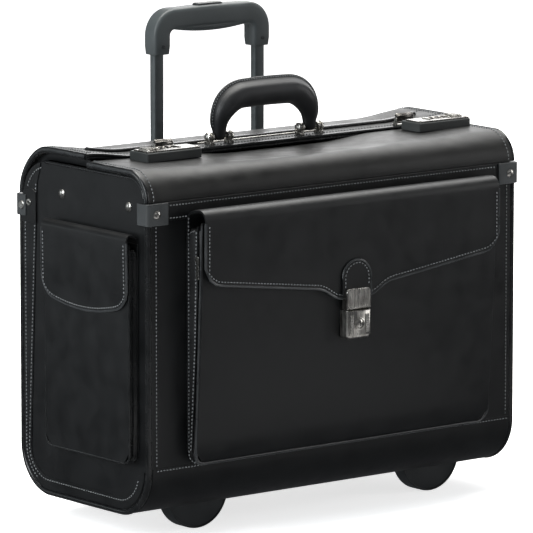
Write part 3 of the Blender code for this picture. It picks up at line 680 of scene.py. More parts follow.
def front_sag(x, share):
    """The front lid dips between its two locks and stands a little higher at its ends."""
    middle = smooth((125 - abs(x)) / 70)
    dip = 4.5 * middle * smooth((share - 0.45) / 0.5)
    return dip - 2.0 * smooth((abs(x) - 150) / 70) * smooth((share - 0.3) / 0.4)


def back_curl(x, share):
    """The back lid lifts at both ends, most towards its free edge."""
    return -6.5 * smooth((abs(x) - 165) / 60) * smooth((share - 0.25) / 0.5)


def make_lids():
    top = (FRONT_LID_TOP - GROUND) / MM
    outer, inner = lid_profile(-1, FRONT_Z + 0.5, FRONT_LID_RADIUS / MM, top, -8, 5)
    add("front_lid_leather", lid_solid(outer, inner, front_sag, HX), LID_LEATHER, "front_lid",
            cad=("front_lid",), bevel=0.8, second=LINING)
    lid_edges("front_lid", outer, front_sag, -1)
    top = (BACK_LID_TOP - GROUND) / MM
    outer, inner = lid_profile(1, BACK_Z + 0.5, BACK_LID_RADIUS / MM, top, -4, 6)
    add("back_lid_leather", lid_solid(outer, inner, back_curl, HX), LID_LEATHER, "back_lid",
            cad=("back_lid",), bevel=0.8, second=LINING)
    lid_edges("back_lid", outer, back_curl, 1)
    edge = [at(x, -4, top - 3 - back_curl(x, 1.0)) for x in range(-228, 229, 6)]
    section = [(-3.2, -1.2), (-2.9, 1.0), (-1.6, 1.9), (-0.3, 1.7), (0, 1.3), (0.3, 1.7)]
    section += [(1.6, 1.9), (2.9, 1.0), (3.2, -1.2)]
    add("back_lid_edge", sweep(edge, section, Vector((0, -1, 0))), GLOSS_LEATHER, "back_lid")
    for y in (4, 34):
        row = [at(x, y, top - back_curl(x, 0.9 if y < 20 else 0.75)) for x in range(-222, 223, 12)]
        stitch("back_lid", row, Vector((0, 0, 1)))


def lid_edges(body, outer, lower, face):
    """The bound ends of a lid, a board that closes each end, and a stitched row beside it."""
    last = len(outer) - 1
    for label, side in SIDES:
        row = []
        inward = []
        skirt = []
        for i, (y, z) in enumerate(outer):
            share = i / last
            tangent = Vector(outer[min(i + 1, last)]) - Vector(outer[max(i - 1, 0)])
            normal = Vector((-tangent.y, tangent.x)).normalized()
            if normal.dot(Vector((face * 0.5, 1))) < 0:
                normal = -normal
            drop = lower(side * HX, share)
            row.append(at(side * (HX - 7), y, z - drop))
            inward.append(at(side * (HX - 0.6), y - normal.x * 2.7, z - normal.y * 2.7 - drop))
            skirt.append(at(side * (HX - 6.6), y - normal.x * 7.5, z - normal.y * 7.5 - drop))
        hint = Vector((side, 0, 0))
        add(f"{body}_binding_{label}", sweep(inward, rounded(3.3, 1.9, 1.7, 4), hint),
                GLOSS_LEATHER, body)
        add(f"{body}_end_board_{label}", sweep(skirt[1:], rounded(6.0, 0.9, 0.6, 2), hint), LEATHER,
                body)
        # The edge line is lighter leather, a painted highlight along the lid's bound end.
        rib = [point + Vector((side * 1.7 * MM, 0, 0)) for point in inward]
        add(f"{body}_edge_line_{label}", sweep(rib, circle(0.8, 8), hint), EDGE_HIGHLIGHT, body)

        def outward(point):
            if abs(point.y - CASE_Y) < HALF_Y - 12 * MM:
                return Vector((0, 0, 1))
            return Vector((0, face * 0.8, 0.6))

        stitch(body, row, outward)


# ---------------------------------------------------------------- pockets


def panel_points(outline_u, low, high, across, rows=18, columns=30, corner=12):
    """A panel's grid, with both lower corners rounded; across turns (u, v) into a point."""
    points = []
    for i in range(rows + 1):
        v = low + (high - low) * i / rows
        row = []
        for j in range(columns + 1):
            share = 2 * j / columns - 1
            half = outline_u(v)
            drop = max(0.0, low + corner - v)
            half -= corner - math.sqrt(max(0.0, corner**2 - drop**2))
            row.append(across(share * half, v))
        points.append(row)
    return points


def panel_edge(outline_u, low, high, across, inset, corner=12):
    """The U-shaped line that runs inset inside a panel's two sides and bottom."""
    half = outline_u(low) - inset
    radius = corner - inset * 0.6
    line = [(-outline_u(high) + inset, high)]
    line += arc((-half + radius, low + inset + radius), radius, 180, 270, 6)
    line += arc((half - radius, low + inset + radius), radius, 270, 360, 6)
    line += [(outline_u(high) - inset, high)]
    return [across(u, v) for u, v in line]


def gusset(half, low, high, depth, across, folds, corner=10):
    """A pleated wall round a pocket's sides and bottom; across turns (u, v, depth) into a point."""
    path = [(-half, high), (-half, (high + low) / 2)]
    path += arc((-half + corner, low + corner), corner, 180, 270, 5)
    path += [(0, low)]
    path += arc((half - corner, low + corner), corner, 270, 360, 5)
    path += [(half, (high + low) / 2), (half, high)]
    dense = []
    for a, b in zip(path, path[1:]):
        steps = max(1, int(math.dist(a, b) / 24))
        dense += [(a[0] + (b[0] - a[0]) * s / steps, a[1] + (b[1] - a[1]) * s / steps) for s in range(steps)]
    dense.append(path[-1])
    points = []
    for i, (u, v) in enumerate(dense):
        ahead = Vector(dense[min(i + 1, len(dense) - 1)]) - Vector(dense[max(i - 1, 0)])
        inward = Vector((-ahead.y, ahead.x)).normalized()
        row = []
        for k, (share, fold) in enumerate(folds):
            wander = 1 + 0.25 * math.sin(v * 0.05 + u * 0.03 + k)
            move = inward * fold * wander
            row.append(across(u + move.x, v + move.y, depth(v) * share))
        points.append(row)
    return points


POCKET_LOW = (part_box("front_pocket")[0][2] - GROUND) / MM
POCKET_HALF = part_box("front_pocket")[1][0] / MM


def pocket_front(v):
    """The front pocket's depth: a wedge that stands further out at the top than at the bottom."""
    return 14.5 + 11.0 * min(1.0, max(0.0, (v - POCKET_LOW) / 170)) ** 0.8


def make_front_pocket():
    def half(_):
        return POCKET_HALF - 1

    def on_back(u, v):
        return at(u, -HY - 2.2, v)

    def on_front(u, v):
        rise = min(1.0, max(0.0, (v - 48) / 245))
        fullness = 2.4 * (1 - (u / POCKET_HALF) ** 6) * math.sin(math.pi * rise ** 0.6)
        tuck = 4.5 * (1 - smooth((v - 48) / 16))
        point = at(u, -HY - pocket_front(v) - fullness + tuck, v)
        point.y -= ripple(point, 0.5)
        return point

    def on_inner(u, v):
        return at(u, -HY - pocket_front(v) + 7.5, v)

    rim = 292
    low = POCKET_LOW + 1.5
    front = add("front_pocket_panel", thick_sheet(panel_points(half, low, rim - 6, on_front), -2.0),
            LEATHER, "case", cad=("front_pocket",), bevel=0.5)
    add("front_pocket_zip_panel", thick_sheet(panel_points(half, low, rim - 10, on_inner), -1.4),
            LEATHER, "case", bevel=0.4)
    add("front_pocket_back", thick_sheet(panel_points(half, low, rim, on_back), -1.6), LEATHER,
            "case", bevel=0.4)
    folds = ((0.0, 0.5), (0.22, 4.5), (0.5, 7.0), (0.8, 3.5), (1.0, 0.5))
    add(
        "front_pocket_gusset",
        thick_sheet(
            gusset(
                POCKET_HALF - 1.5, low + 0.5, rim - 12, lambda v: pocket_front(v) - 9,
                lambda u, v, d: at(u, -HY - 2.4 - d, v), folds,
            ),
            1.2,
        ),
        LEATHER,
        "case",
        subdivide=1,
    )
    teeth = (0.0, 0.4), (0.5, 1.2), (1.0, 0.4)
    add(
        "front_pocket_zip",
        thick_sheet(
            gusset(
                POCKET_HALF - 2.5, low + 1, rim - 14, lambda v: 5.0,
                lambda u, v, d: at(u, -HY - pocket_front(v) + 7 - d, v), teeth,
            ),
            0.8,
        ),
        LINING,
        "case",
    )
    forward = Vector((0, -1, 0))
    # A bead of lighter leather round the panel, a painted highlight along its edge.
    edge = panel_edge(half, low, rim - 8, on_front, 0.4)
    add("front_pocket_bead",
            sweep([p + Vector((0, 0.9 * MM, 0)) for p in edge], circle(1.2, 8), forward),
            EDGE_HIGHLIGHT, "case")
    stitch("case", panel_edge(half, low - 1, rim - 2, lambda u, v: at(u, -HY - 2.3, v), 1.2), forward)
    for _, side in SIDES:
        rows = [at(side * POCKET_HALF, -HY - pocket_front(v) + 7.4, v) for v in (rim - 14, 170, low + 14)]
        stitch("case", rows, Vector((side, 0, 0)))


def flap_points(half, reach, top, corner, lower, across, columns=48, rows=12):
    """A flap's grid: out from its hinge, over a rolled edge and down to lower(u)."""
    points = []
    for j in range(columns + 1):
        share = 2 * j / columns - 1
        u = half * math.sin(share * math.pi / 2) if abs(share) < 1 else half * share
        middle = reach - corner
        line = [
            (middle * (1 - math.cos(angle)), top - corner * (1 - math.sin(angle)) * 0.8)
            for angle in (0.0, 0.35, 0.75, 1.15)
        ]
        line += arc((middle, top - corner), corner, 90, 0, 8)
        end = lower(u)
        start = top - corner
        line += [(reach, start + (end - start) * i / rows) for i in range(1, rows + 1)]
        points.append([across(u, w, v) for w, v in line])
    return points


def flap_border(half, reach, top, lower, across, inset, corner):
    """A line inset inside a flap's free edges, from one hinge side round to the other."""
    line = [(-half + inset, top - corner)]
    steps = 60
    for i in range(steps + 1):
        u = -half + inset + (2 * half - 2 * inset) * i / steps
        line.append((u, lower(u) + inset))
    line.append((half - inset, top - corner))
    return [across(u, reach, v) for u, v in line]


FLAP_LOW_CORNER = 227.5
FLAP_SHOULDER = 209.5
FLAP_NOSE = 197


def front_flap_edge(u):
    """Nearly level from the corners to the shoulders, then a nose behind the lock."""
    far = abs(u)
    edge = FLAP_SHOULDER + (FLAP_LOW_CORNER - FLAP_SHOULDER) * max(0.0, far - 44) / 138
    edge -= (FLAP_SHOULDER - FLAP_NOSE) * smooth((46 - far) / 30)
    radius = 18
    over = max(0.0, far - (POCKET_HALF - 1 - radius))
    return edge + radius - math.sqrt(max(0.0, radius**2 - over**2))


def make_front_flap():
    low, high = box_mm("front_pocket_flap")
    top = high[2]
    hinge_y = high[1]
    reach = high[1] - low[1] + 1.0

    def across(u, w, v):
        bow = 1.2 * (1 - (u / POCKET_HALF) ** 2) * min(1.0, w / reach)
        relax = 1.6 * smooth((240 - v) / 40) * min(1.0, w / reach)
        point = at(u, hinge_y - w - bow + relax, v)
        point.y -= ripple(point, 0.6) * min(1.0, w / reach)
        return point

    half = POCKET_HALF - 1
    add("front_flap_leather",
            thick_sheet(flap_points(half, reach, top, 11, front_flap_edge, across, 72), -2.3),
            LEATHER, "front_pocket_flap", cad=("front_pocket_flap",), bevel=0.7, segments=3)
    forward = Vector((0, -1, 0))
    line = flap_border(half, reach, top, front_flap_edge, across, 3.8, 14)
    stitch("front_pocket_flap", [p + forward * 0.2 * MM for p in line], forward)
    # A bead of lighter leather round the flap, a painted highlight along its edge.
    edge = flap_border(half, reach, top, front_flap_edge, across, 0.2, 12)
    add("front_flap_edge_bead",
            sweep([p + Vector((0, 0.9 * MM, 0)) for p in edge], circle(1.35, 8), forward),
            EDGE_HIGHLIGHT, "front_pocket_flap")
    arch = arc((0, 217), 17.5, 180, 0, 14)
    outline = [(-17.5, 200)] + arch + [(17.5, 200)]
    face = hinge_y - reach - 1.2
    add("lock_tab", prism(outline, "xz", face + 0.6, face - 1.0), LEATHER, "front_pocket_flap",
            bevel=0.6, segments=3)
    # The tab's rim bead is lighter leather, a painted highlight along its edge.
    rim = [place("xz", u, v, face - 0.5) for u, v in outline[:-1][1:] + [(17.5, 200)]]
    add("lock_tab_edge", sweep(rim, circle(1.1, 8), forward), EDGE_HIGHLIGHT, "front_pocket_flap")
    row = [(-14.5, 207)] + arc((0, 217), 14.5, 180, 0, 14) + [(14.5, 207)]
    stitch("front_pocket_flap", [place("xz", u, v, face - 1.0) for u, v in row], forward)


def make_side_pocket(label, side):
    low, high = box_mm(f"side_pocket_{label}")
    middle = (low[1] + high[1]) / 2
    half_width = (high[1] - low[1]) / 2
    base = low[2]
    rim = high[2]
    depth = high[0] - low[0]

    def half(_):
        return half_width - 0.5

    def on_front(u, v):
        fullness = 1.4 * (1 - (u / half_width) ** 4) * math.sin(math.pi * min(1, max(0, (v - base) / 215)))
        point = at(side * (HX + depth - 0.6 + fullness), middle - side * u, v)
        point.x += side * ripple(point, 0.4)
        return point

    def on_back(u, v):
        return at(side * (HX + 1.6), middle - side * u, v)

    name = f"side_pocket_{label}"
    panel = add(f"{name}_panel",
            thick_sheet(panel_points(half, base + 0.5, rim, on_front, corner=9), 1.8), LEATHER,
            "case", cad=(name,), bevel=0.5)
    add(f"{name}_back", thick_sheet(panel_points(half, base + 0.5, rim, on_back, corner=9), 1.2),
            LEATHER, "case", bevel=0.4)
    folds = ((0.0, 0.4), (0.3, 4.0), (0.55, 1.8), (0.75, 4.0), (1.0, 0.4))
    add(
        f"{name}_gusset",
        thick_sheet(
            gusset(half_width - 1, base + 1, rim - 4, lambda v: depth - 3.4,
                   lambda u, v, d: at(side * (HX + 1.4 + d), middle - side * u, v), folds, 8),
            -1.0,
        ),
        GLOSS_LEATHER,
        "case",
        subdivide=1,
    )
    outward = Vector((side, 0, 0))
    seam = panel_edge(half, base + 0.5, rim - 4, on_front, 0.4, 9)
    add(f"{name}_bead", sweep([p - outward * 0.8 * MM for p in seam], circle(1.1, 8), outward),
            GLOSS_LEATHER, "case")

    low, high = box_mm(f"side_pocket_flap_{label}")
    top = high[2]
    hinge_x = min(abs(low[0]), abs(high[0]))
    reach = high[0] - low[0] + 0.8

    def edge(u):
        """The lower edge bellies down between two round corners."""
        line = 195.2 + 11 * ((side * u + 3) / 68) ** 2
        radius = 17
        over = max(0.0, abs(u) - (half_width - radius))
        return line + radius - math.sqrt(max(0.0, radius**2 - over**2))

    def across(u, w, v):
        relax = 1.0 * smooth((235 - v) / 30) * min(1.0, w / reach)
        point = at(side * (hinge_x + w - relax), middle - side * u, v)
        point.x += side * ripple(point, 0.5) * min(1.0, w / reach)
        return point

    body = f"side_pocket_flap_{label}"
    add(f"{body}_leather",
            thick_sheet(flap_points(half_width, reach, top, 6, edge, across, 36), 1.9), LEATHER,
            body, cad=(body,), bevel=0.6, segments=3)
    line = flap_border(half_width, reach, top, edge, across, 3.2, 9)
    stitch(body, [p + outward * 0.2 * MM for p in line], outward)
    # A bead of lighter leather round the flap, a painted highlight along its edge.
    rim_line = flap_border(half_width, reach, top, edge, across, 0.2, 8)
    add(f"{body}_bead", sweep([p - outward * 0.8 * MM for p in rim_line], circle(1.25, 8), outward),
            EDGE_HIGHLIGHT, body)


# ---------------------------------------------------------------- locks


def make_push_lock():
    """A tuck lock: a plain plate on the flap over a rounded body with a key cylinder."""
    front = (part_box("push_lock_body")[0][1] - CASE_Y) / MM
    back = -HY - pocket_front(180) - 2.5
    outline = arc((-11, 161), 4, 180, 270, 5) + arc((11, 161), 4, 270, 360, 5)
    outline += [(15, 185.5), (-15, 185.5)]
    rings = []
    for depth, shrink in ((back, 0), (front + 2.6, 0), (front + 1.0, 0.8), (front + 0.2, 2.4)):
        wide, tall = 1 - shrink / 15, 1 - shrink / 14
        rings.append([at(u * wide, depth, 172 + (v - 172) * tall) for u, v in outline])
    add("push_lock_case", loft(rings), NICKEL, "case", cad=("push_lock_body",),
            bevel=0.4)
    bands = []
    for x, width in ((-9.5, 2.2), (9.5, 2.2)):
        bands.append(block((x - width, front - 0.5, 163), (x + width, front + 1, 181)))
    add("push_lock_bands", joined(bands), BRIGHT, "case", bevel=0.4)
    ring = [(0.8, 6.2), (-0.8, 6.0), (-1.0, 5.2), (-0.7, 4.8), (0.8, 4.7)]
    add("push_lock_collar", turned(ring, at(0, front, 172), "y", 28), BRIGHT, "case")
    face = [(1.8, 4.3), (-0.2, 4.3), (-0.6, 3.8), (-0.7, 0.9)]
    key = block((-0.5, front - 0.9, 169.6), (0.5, front - 0.3, 174.4))
    add("push_lock_cylinder", turned(face, at(0, front - 0.2, 172), "y", 24), NICKEL,
            "push_lock_button", cad=("push_lock_button",))
    add("push_lock_keyway", key, RUBBER, "push_lock_button")
    outline = [(-15, 186.5), (15, 186.5)]
    outline += arc((11.5, 203), 3.5, 0, 90, 4) + arc((-11.5, 203), 3.5, 90, 180, 4)
    rings = []
    for depth, shrink in ((back - 3.6, 0), (front + 1.6, 0), (front + 0.7, 0.8)):
        wide, tall = 1 - shrink / 15, 1 - shrink / 10
        rings.append([at(u * wide, depth, 196.5 + (v - 196.5) * tall) for u, v in outline])
    add("push_lock_plate", loft(rings), NICKEL, "front_pocket_flap",
            cad=("push_lock_hasp",), bevel=0.4)
    bar = block((-13.6, front - 0.2, 187.2), (13.6, front + 1.2, 189.4))
    add("push_lock_lip", bar, BRIGHT, "front_pocket_flap", bevel=0.5)


def make_combination_lock(label):
    low, high = box_mm(f"lock_base_{label}")
    base_x = sorted((low[0], high[0]))
    front = low[1]
    back = high[1]
    top = high[2]
    middle_x = sum(base_x) / 2
    middle_y = (front + back) / 2
    paint(f"lock_base_{label}", LOCK_PLASTIC)
    strips = [
        ((base_x[0] + 1.2, front + 1.2), (middle_x - 12.4, back - 5.2)),
        ((middle_x + 12.4, front + 1.2), (base_x[1] - 1.2, back - 5.2)),
        ((middle_x - 12.4, front + 1.2), (middle_x + 12.4, middle_y - 5.8)),
        ((middle_x - 12.4, middle_y + 5.8), (middle_x + 12.4, back - 5.2)),
    ]
    plates = [block((*a, top), (*b, top + 1.5)) for a, b in strips]
    add(f"lock_plate_{label}", joined(plates), GUNMETAL, "front_lid", bevel=0.25)
    trims = []
    for x in (middle_x - 4.0, middle_x + 4.0):
        trims.append(block((x - 0.9, middle_y - 5.6, top - 2), (x + 0.9, middle_y + 5.6, top + 1.9)))
    for x in (middle_x - 12.6, middle_x + 12.6):
        trims.append(block((x - 1.2, middle_y - 5.8, top), (x + 1.2, middle_y + 5.8, top + 2.4)))
    add(f"lock_trim_{label}", joined(trims), BRIGHT, "front_lid", bevel=0.3)
    for number in (1, 2, 3):
        make_dial(f"dial_{label}_{number}")
    make_slide_button(label)
    make_hasp(label)
    screws = []
    for x in (base_x[0] + 4, base_x[1] - 4):
        screws.append(turned([(0, 1.5), (0.9, 1.5), (1.2, 0.9)], at(x, front + 4, top + 1.1), "z", 14))
    add(f"lock_screws_{label}", joined(screws), BRIGHT, "front_lid")


def make_dial(name):
    """A number wheel with a ribbed rim."""
    low, high = box_mm(name)
    centre = at(*[(a + b) / 2 for a, b in zip(low, high)])
    radius = (high[2] - low[2]) / 2
    half = (high[0] - low[0]) / 2
    ribs = 20
    rings = []
    for along, scale in ((-half, 0.9), (-half * 0.8, 1.0), (half * 0.8, 1.0), (half, 0.9)):
        ring = []
        for i in range(ribs * 2):
            angle = math.pi * i / ribs
            reach = radius * scale * (1.14 if i % 2 else 0.98)
            spoke = Vector((along, reach * math.cos(angle), reach * math.sin(angle)))
            ring.append(centre + spoke * MM)
        rings.append(ring)
    add(f"{name}_wheel", loft(rings), GUNMETAL, name, cad=(name,), smooth_angle=20)


def make_slide_button(label):
    """The slide button: a block with a cut pattern of small ridges on top."""
    (x0, y0, z0), (x1, y1, z1) = box_mm(f"lock_button_{label}")
    meshes = [block((x0, y0, z0), (x1, y1, z1 - 0.6))]
    for i in range(7):
        x = x0 + 1.0 + (x1 - x0 - 2.0) * i / 6
        meshes.append(block((x - 0.45, y0 + 0.8, z1 - 0.8), (x + 0.45, y1 - 0.8, z1)))
    body = f"lock_button_{label}"
    add(f"{body}_block", joined(meshes), NICKEL, body, cad=(body,), bevel=0.25)


def knurled_bar(low_x, high_x, y, z, radius):
    """A bar along X with shallow flutes round it and a chamfer at each end."""
    flutes = 18
    rings = []
    for x, scale in ((low_x, 0.8), (low_x + 0.8, 1.0), (high_x - 0.8, 1.0), (high_x, 0.8)):
        ring = []
        for i in range(flutes * 2):
            angle = math.pi * i / flutes
            reach = radius * scale * (1.0 if i % 2 else 0.87)
            ring.append(at(x, y + reach * math.cos(angle), z + reach * math.sin(angle)))
        rings.append(ring)
    return loft(rings)


def make_hasp(label):
    """The hasp: a knurled bar on a plate between two cheeks, over its hinge barrel."""
    body = f"hasp_{label}"
    (x0, y0, z0), (x1, y1, top) = box_mm(body)
    y = (y0 + y1) / 2
    base = z0 + 2.2
    meshes = [block((x0, y - 0.6, base), (x1, y + 0.6, top - 3))]
    meshes.append(turned([(0, 1.7), (x1 - x0, 1.7)], at(x0, y, base + 0.8), "x", 16))
    meshes.append(knurled_bar(x0 + 0.2, x1 - 0.2, y + 0.7, top - 2.8, 2.8))
    add(f"{body}_lever", joined(meshes), GUNMETAL, body, cad=(body,), bevel=0.2)
    cheeks = []
    for x in (x0 - 1.0, x1 + 0.1):
        outline = [(y - 2.0, base - 1.8), (y + 4.4, base - 1.8)]
        outline += [(y + 1.2, base + 6.2), (y - 0.9, base + 6.2)]
        cheeks.append(prism(outline, "yz", x, x + 0.9))
    foot = block((x0 - 1, y - 0.8, base - 2.4), (x1 + 1, y + 6, base - 1.6))
    add(f"{body}_bracket", joined(cheeks + [foot]), BRIGHT, "back_lid", bevel=0.2)


# ---------------------------------------------------------------- handle


def handle_path(steps=14):
    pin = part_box("handle_bracket_right")
    half = (pin[0][0] + pin[1][0]) / 2 / MM
    pin_z = (pin[1][2] - GROUND) / MM - 4
    rise = 38.6
    corner = 29
    shoulder = rise - corner
    inner = half - corner
    path = [(-half, -4.2), (-half, -1), (-half, shoulder * 0.6)]
    path += arc((-inner, shoulder), corner, 180, 90, steps)
    path += [(-inner * 0.5, rise + 0.4), (0, rise + 0.6)]
    path += [(-x, z) for x, z in path[-2::-1]]
    y = ((pin[0][1] + pin[1][1]) / 2 - CASE_Y) / MM
    return [(x, y, pin_z + z, z / rise) for x, z in path]


def make_carry_handle():
    """A padded leather bow whose cover closes in a stitched welt along its outer edge."""
    path = handle_path()
    points = [at(x, y, z) for x, y, z, _ in path]
    centre = at(0, path[0][1], path[0][2] + 12)
    rings = []
    welt = []
    count = len(path)
    for i, point in enumerate(points):
        tangent = (points[min(i + 1, count - 1)] - points[max(i - 1, 0)]).normalized()
        outward = Vector((0, -1, 0)).cross(tangent).normalized()
        if outward.dot(point - centre) < 0:
            outward = -outward
        side = Vector((0, 1, 0))
        share = max(0.0, path[i][3])
        radius = 7.0 + 6.2 * smooth(share * 1.05)
        thin = 0.78 + 0.16 * smooth(share * 1.4)
        if i in (0, count - 1):
            radius *= 0.72
        flange = 2.8 * smooth((share - 0.1) / 0.2)
        ring = []
        for k in range(24):
            angle = 2 * math.pi * k / 24
            out = math.cos(angle)
            wide = math.sin(angle)
            reach = radius * out
            if out > 0.93:
                reach = radius + flange
                wide = math.copysign(min(abs(wide), 1.3 / radius), wide) if abs(wide) > 1e-6 else 0.0
            elif out > 0.80:
                wide = math.copysign(1.5 / radius, wide)
                reach = radius * 0.99
            ring.append(point + (outward * reach + side * radius * thin * wide) * MM)
        rings.append(ring)
        if flange > 2.2:
            welt.append(point + outward * (radius + flange - 1.7) * MM)
    bow = add("handle_leather", loft(rings), HANDLE_LEATHER, "carry_handle", cad=("carry_handle",),
            subdivide=1, smooth_angle=70)
    for face in (-1, 1):
        row = [p + Vector((0, face * 1.35 * MM, 0)) for p in welt]
        stitch("carry_handle", row, Vector((0, face, 0)), 3.0)


def make_handle_brackets():
    """Each foot's cross pin, with a sleeve and a round head on both sides, on a low saddle."""
    for label, _ in SIDES:
        low, high = box_mm(f"handle_bracket_{label}")
        x0, x1 = low[0], high[0]
        middle = (x0 + x1) / 2
        y = (low[1] + high[1]) / 2
        z = high[2] - 4
        base = low[2]
        meshes = []
        for face in (-1, 1):
            inner = middle + face * 8.2
            profile = [(0, 3.4), (0.3, 4.3), (2.6, 4.3), (2.9, 3.4), (4.4, 3.4), (4.7, 4.9)]
            profile += [(6.2, 4.9), (7.4, 3.9), (7.9, 1.2)]
            meshes.append(turned([(face * a, r) for a, r in profile], at(inner, y, z), "x", 24))
        meshes.append(turned([(-8.4, 1.9), (8.4, 1.9)], at(middle, y, z), "x", 16))
        add(f"handle_pin_{label}", joined(meshes), BRIGHT, "back_lid",
                cad=(f"handle_bracket_{label}",))
        saddles = []
        for face in (-1, 1):
            spot = middle + face * 12
            saddles.append(block((spot - 2.6, y - 5, base - 0.4), (spot + 2.6, y + 5, base + 2.6)))
            saddles.append(block((spot - 1.4, y - 2.4, base), (spot + 1.4, y + 2.4, z)))
        add(f"handle_saddle_{label}", joined(saddles), NICKEL, "back_lid", bevel=0.6)
    low, high = box_mm("handle_rail")
    y = (low[1] + high[1]) / 2
    z = low[2]
    path = [at(x, y, z + 0.6 - back_curl(x, 0.8)) for x in range(-205, 206, 10)]
    add("lid_rail", sweep(path, rounded(3.4, 2.2, 2.0, 5), Vector((0, 0, 1))), GLOSS_LEATHER,
            "back_lid", cad=("handle_rail",))
    path = [point + Vector((0, -5.6 * MM, -0.4 * MM)) for point in path if abs(point.x) < 85 * MM]
    add("lid_rail_wire", sweep(path, circle(0.9, 8), Vector((0, 0, 1))), NICKEL, "back_lid")


# ---------------------------------------------------------------- trolley


def round_tube(name, body, wall):
    """A trolley tube with rounded edges, in place of a square CAD one."""
    low, high = box_mm(name)
    x, y = (low[0] + high[0]) / 2, (low[1] + high[1]) / 2
    half_u, half_v = (high[0] - low[0]) / 2, (high[1] - low[1]) / 2
    outer = rounded(half_u, half_v, 2.0, 4)
    rings = [[at(x + u, y + v, z) for u, v in outer] for z in (low[2], high[2])]
    if not wall:
        add(f"{name}_rod", loft(rings), TUBE, body, cad=(name,))
        return
    inner = rounded(half_u - wall, half_v - wall, 1.2, 4)
    hollow = [[at(x + u, y + v, z) for u, v in inner] for z in (high[2], low[2])]
    add(f"{name}_sleeve", loft(rings + hollow, caps=False), TUBE, body, cad=(name,))


def make_trolley():
    for label, _ in SIDES:
        round_tube(f"trolley_outer_tube_{label}", "case", 1.3)
        round_tube(f"trolley_middle_tube_{label}", "trolley_lower_stage", 1.2)
        round_tube(f"trolley_inner_tube_{label}", "trolley_upper_stage", 0)
    low, high = box_mm("trolley_grip")
    centre_x = (low[0] + high[0]) / 2
    half_x = (high[0] - low[0]) / 2
    y = (low[1] + high[1]) / 2
    base = low[2]
    top = high[2]
    half_y = (high[1] - low[1]) / 2
    path = [(-half_x + 10.4, base), (-half_x + 10.4, base + 8), (-half_x + 10.4, top - 30)]
    path += arc((-half_x + 26.4, top - 26), 16, 180, 90, 10)
    path += [(-half_x + 38, top - 10.0), (-20, top - 9.6), (0, top - 9.4)]
    path += [(-x, z) for x, z in path[-2::-1]]
    points = [at(centre_x + x, y, z) for x, z in path]
    rings = []
    count = len(points)
    for i, point in enumerate(points):
        tangent = (points[min(i + 1, count - 1)] - points[max(i - 1, 0)]).normalized()
        out = Vector((0, 1, 0)).cross(tangent).normalized()
        height = path[i][1]
        thick = 10.2 + 0.4 * smooth((height - (top - 24)) / 14)
        wide = half_y - 0.5
        if i in (0, count - 1):
            thick -= 0.8
            wide -= 0.8
        rings.append([point + (out * u * thick / 9 + Vector((0, 1, 0)) * v * wide / 10) * MM
                      for u, v in rounded(9, 10, 4.0, 6)])
    add("grip_body", loft(rings), GRIP_PLASTIC, "trolley_upper_stage",
            cad=("trolley_grip",), bevel=0.6)
    under = [at(centre_x + x, y, top - 16.2 - 4.0 * (1 - (x / 46) ** 2)) for x in range(-46, 47, 4)]
    add("grip_pad", sweep(under, rounded(9.2, 4.4, 4.0, 5), Vector((0, 0, 1))), GRIP_PLASTIC,
            "trolley_upper_stage")
    screws = []
    for _, side in SIDES:
        centre = at(centre_x + side * (half_x - 10.4), y - half_y + 0.3, base + 8)
        screws.append(turned([(0.6, 2.0), (-0.3, 2.0), (-0.5, 1.4), (0.3, 1.0)], centre, "y", 16))
    add("grip_screws", joined(screws), PLASTIC, "trolley_upper_stage")
    seam = points[3:-3]
    seam_rings = []
    for i, point in enumerate(seam):
        tangent = (seam[min(i + 1, len(seam) - 1)] - seam[max(i - 1, 0)]).normalized()
        out = Vector((0, 1, 0)).cross(tangent).normalized()
        seam_rings.append([point + out * 9.9 * MM + Vector((0, v, 0)) * MM + out * u * MM
                           for u, v in ((0, -0.35), (0.5, -0.35), (0.5, 0.35), (0, 0.35))])
    add("grip_seam", loft(seam_rings), PLASTIC, "trolley_upper_stage")
    low, high = box_mm("trolley_button")
    outline = rounded((high[0] - low[0]) / 2, (high[1] - low[1]) / 2, 3.0, 5)
    centre_y = (low[1] + high[1]) / 2
    rings = []
    for z, scale in ((low[2], 1.0), (high[2] - 1.2, 1.0), (high[2] - 0.4, 0.97), (high[2], 0.9)):
        rings.append([at(centre_x + u * scale, centre_y + v * scale, z) for u, v in outline])
    add("release_button", loft(rings), PLASTIC, "trolley_button",
            cad=("trolley_button",))


def make_trolley_cover():
    """The cover over the tubes at the back, with ribs and screws."""
    paint("trolley_housing", PLASTIC)
    low, high = box_mm("trolley_housing")
    back = high[1]
    base, top = low[2], high[2]
    middle = (low[0] + high[0]) / 2
    half = (high[0] - low[0]) / 2
    ribs = [block((middle + x - 1.5, back - 0.5, base + 14), (middle + x + 1.5, back + 0.9, top - 18))
            for x in (-36, -24, -12, 0, 12, 24, 36)]
    add("cover_ribs", joined(ribs), PLASTIC, "case", bevel=0.6)
    screws = []
    for x in (middle - half + 9, middle + half - 9):
        for z in (base + 9, (base + top) / 2, top - 9):
            screws.append(turned([(0, 3.2), (0.7, 3.2), (1.2, 2.2)], at(x, back, z), "y", 18))
    add("cover_screws", joined(screws), BRIGHT, "case")


# ---------------------------------------------------------------- running gear


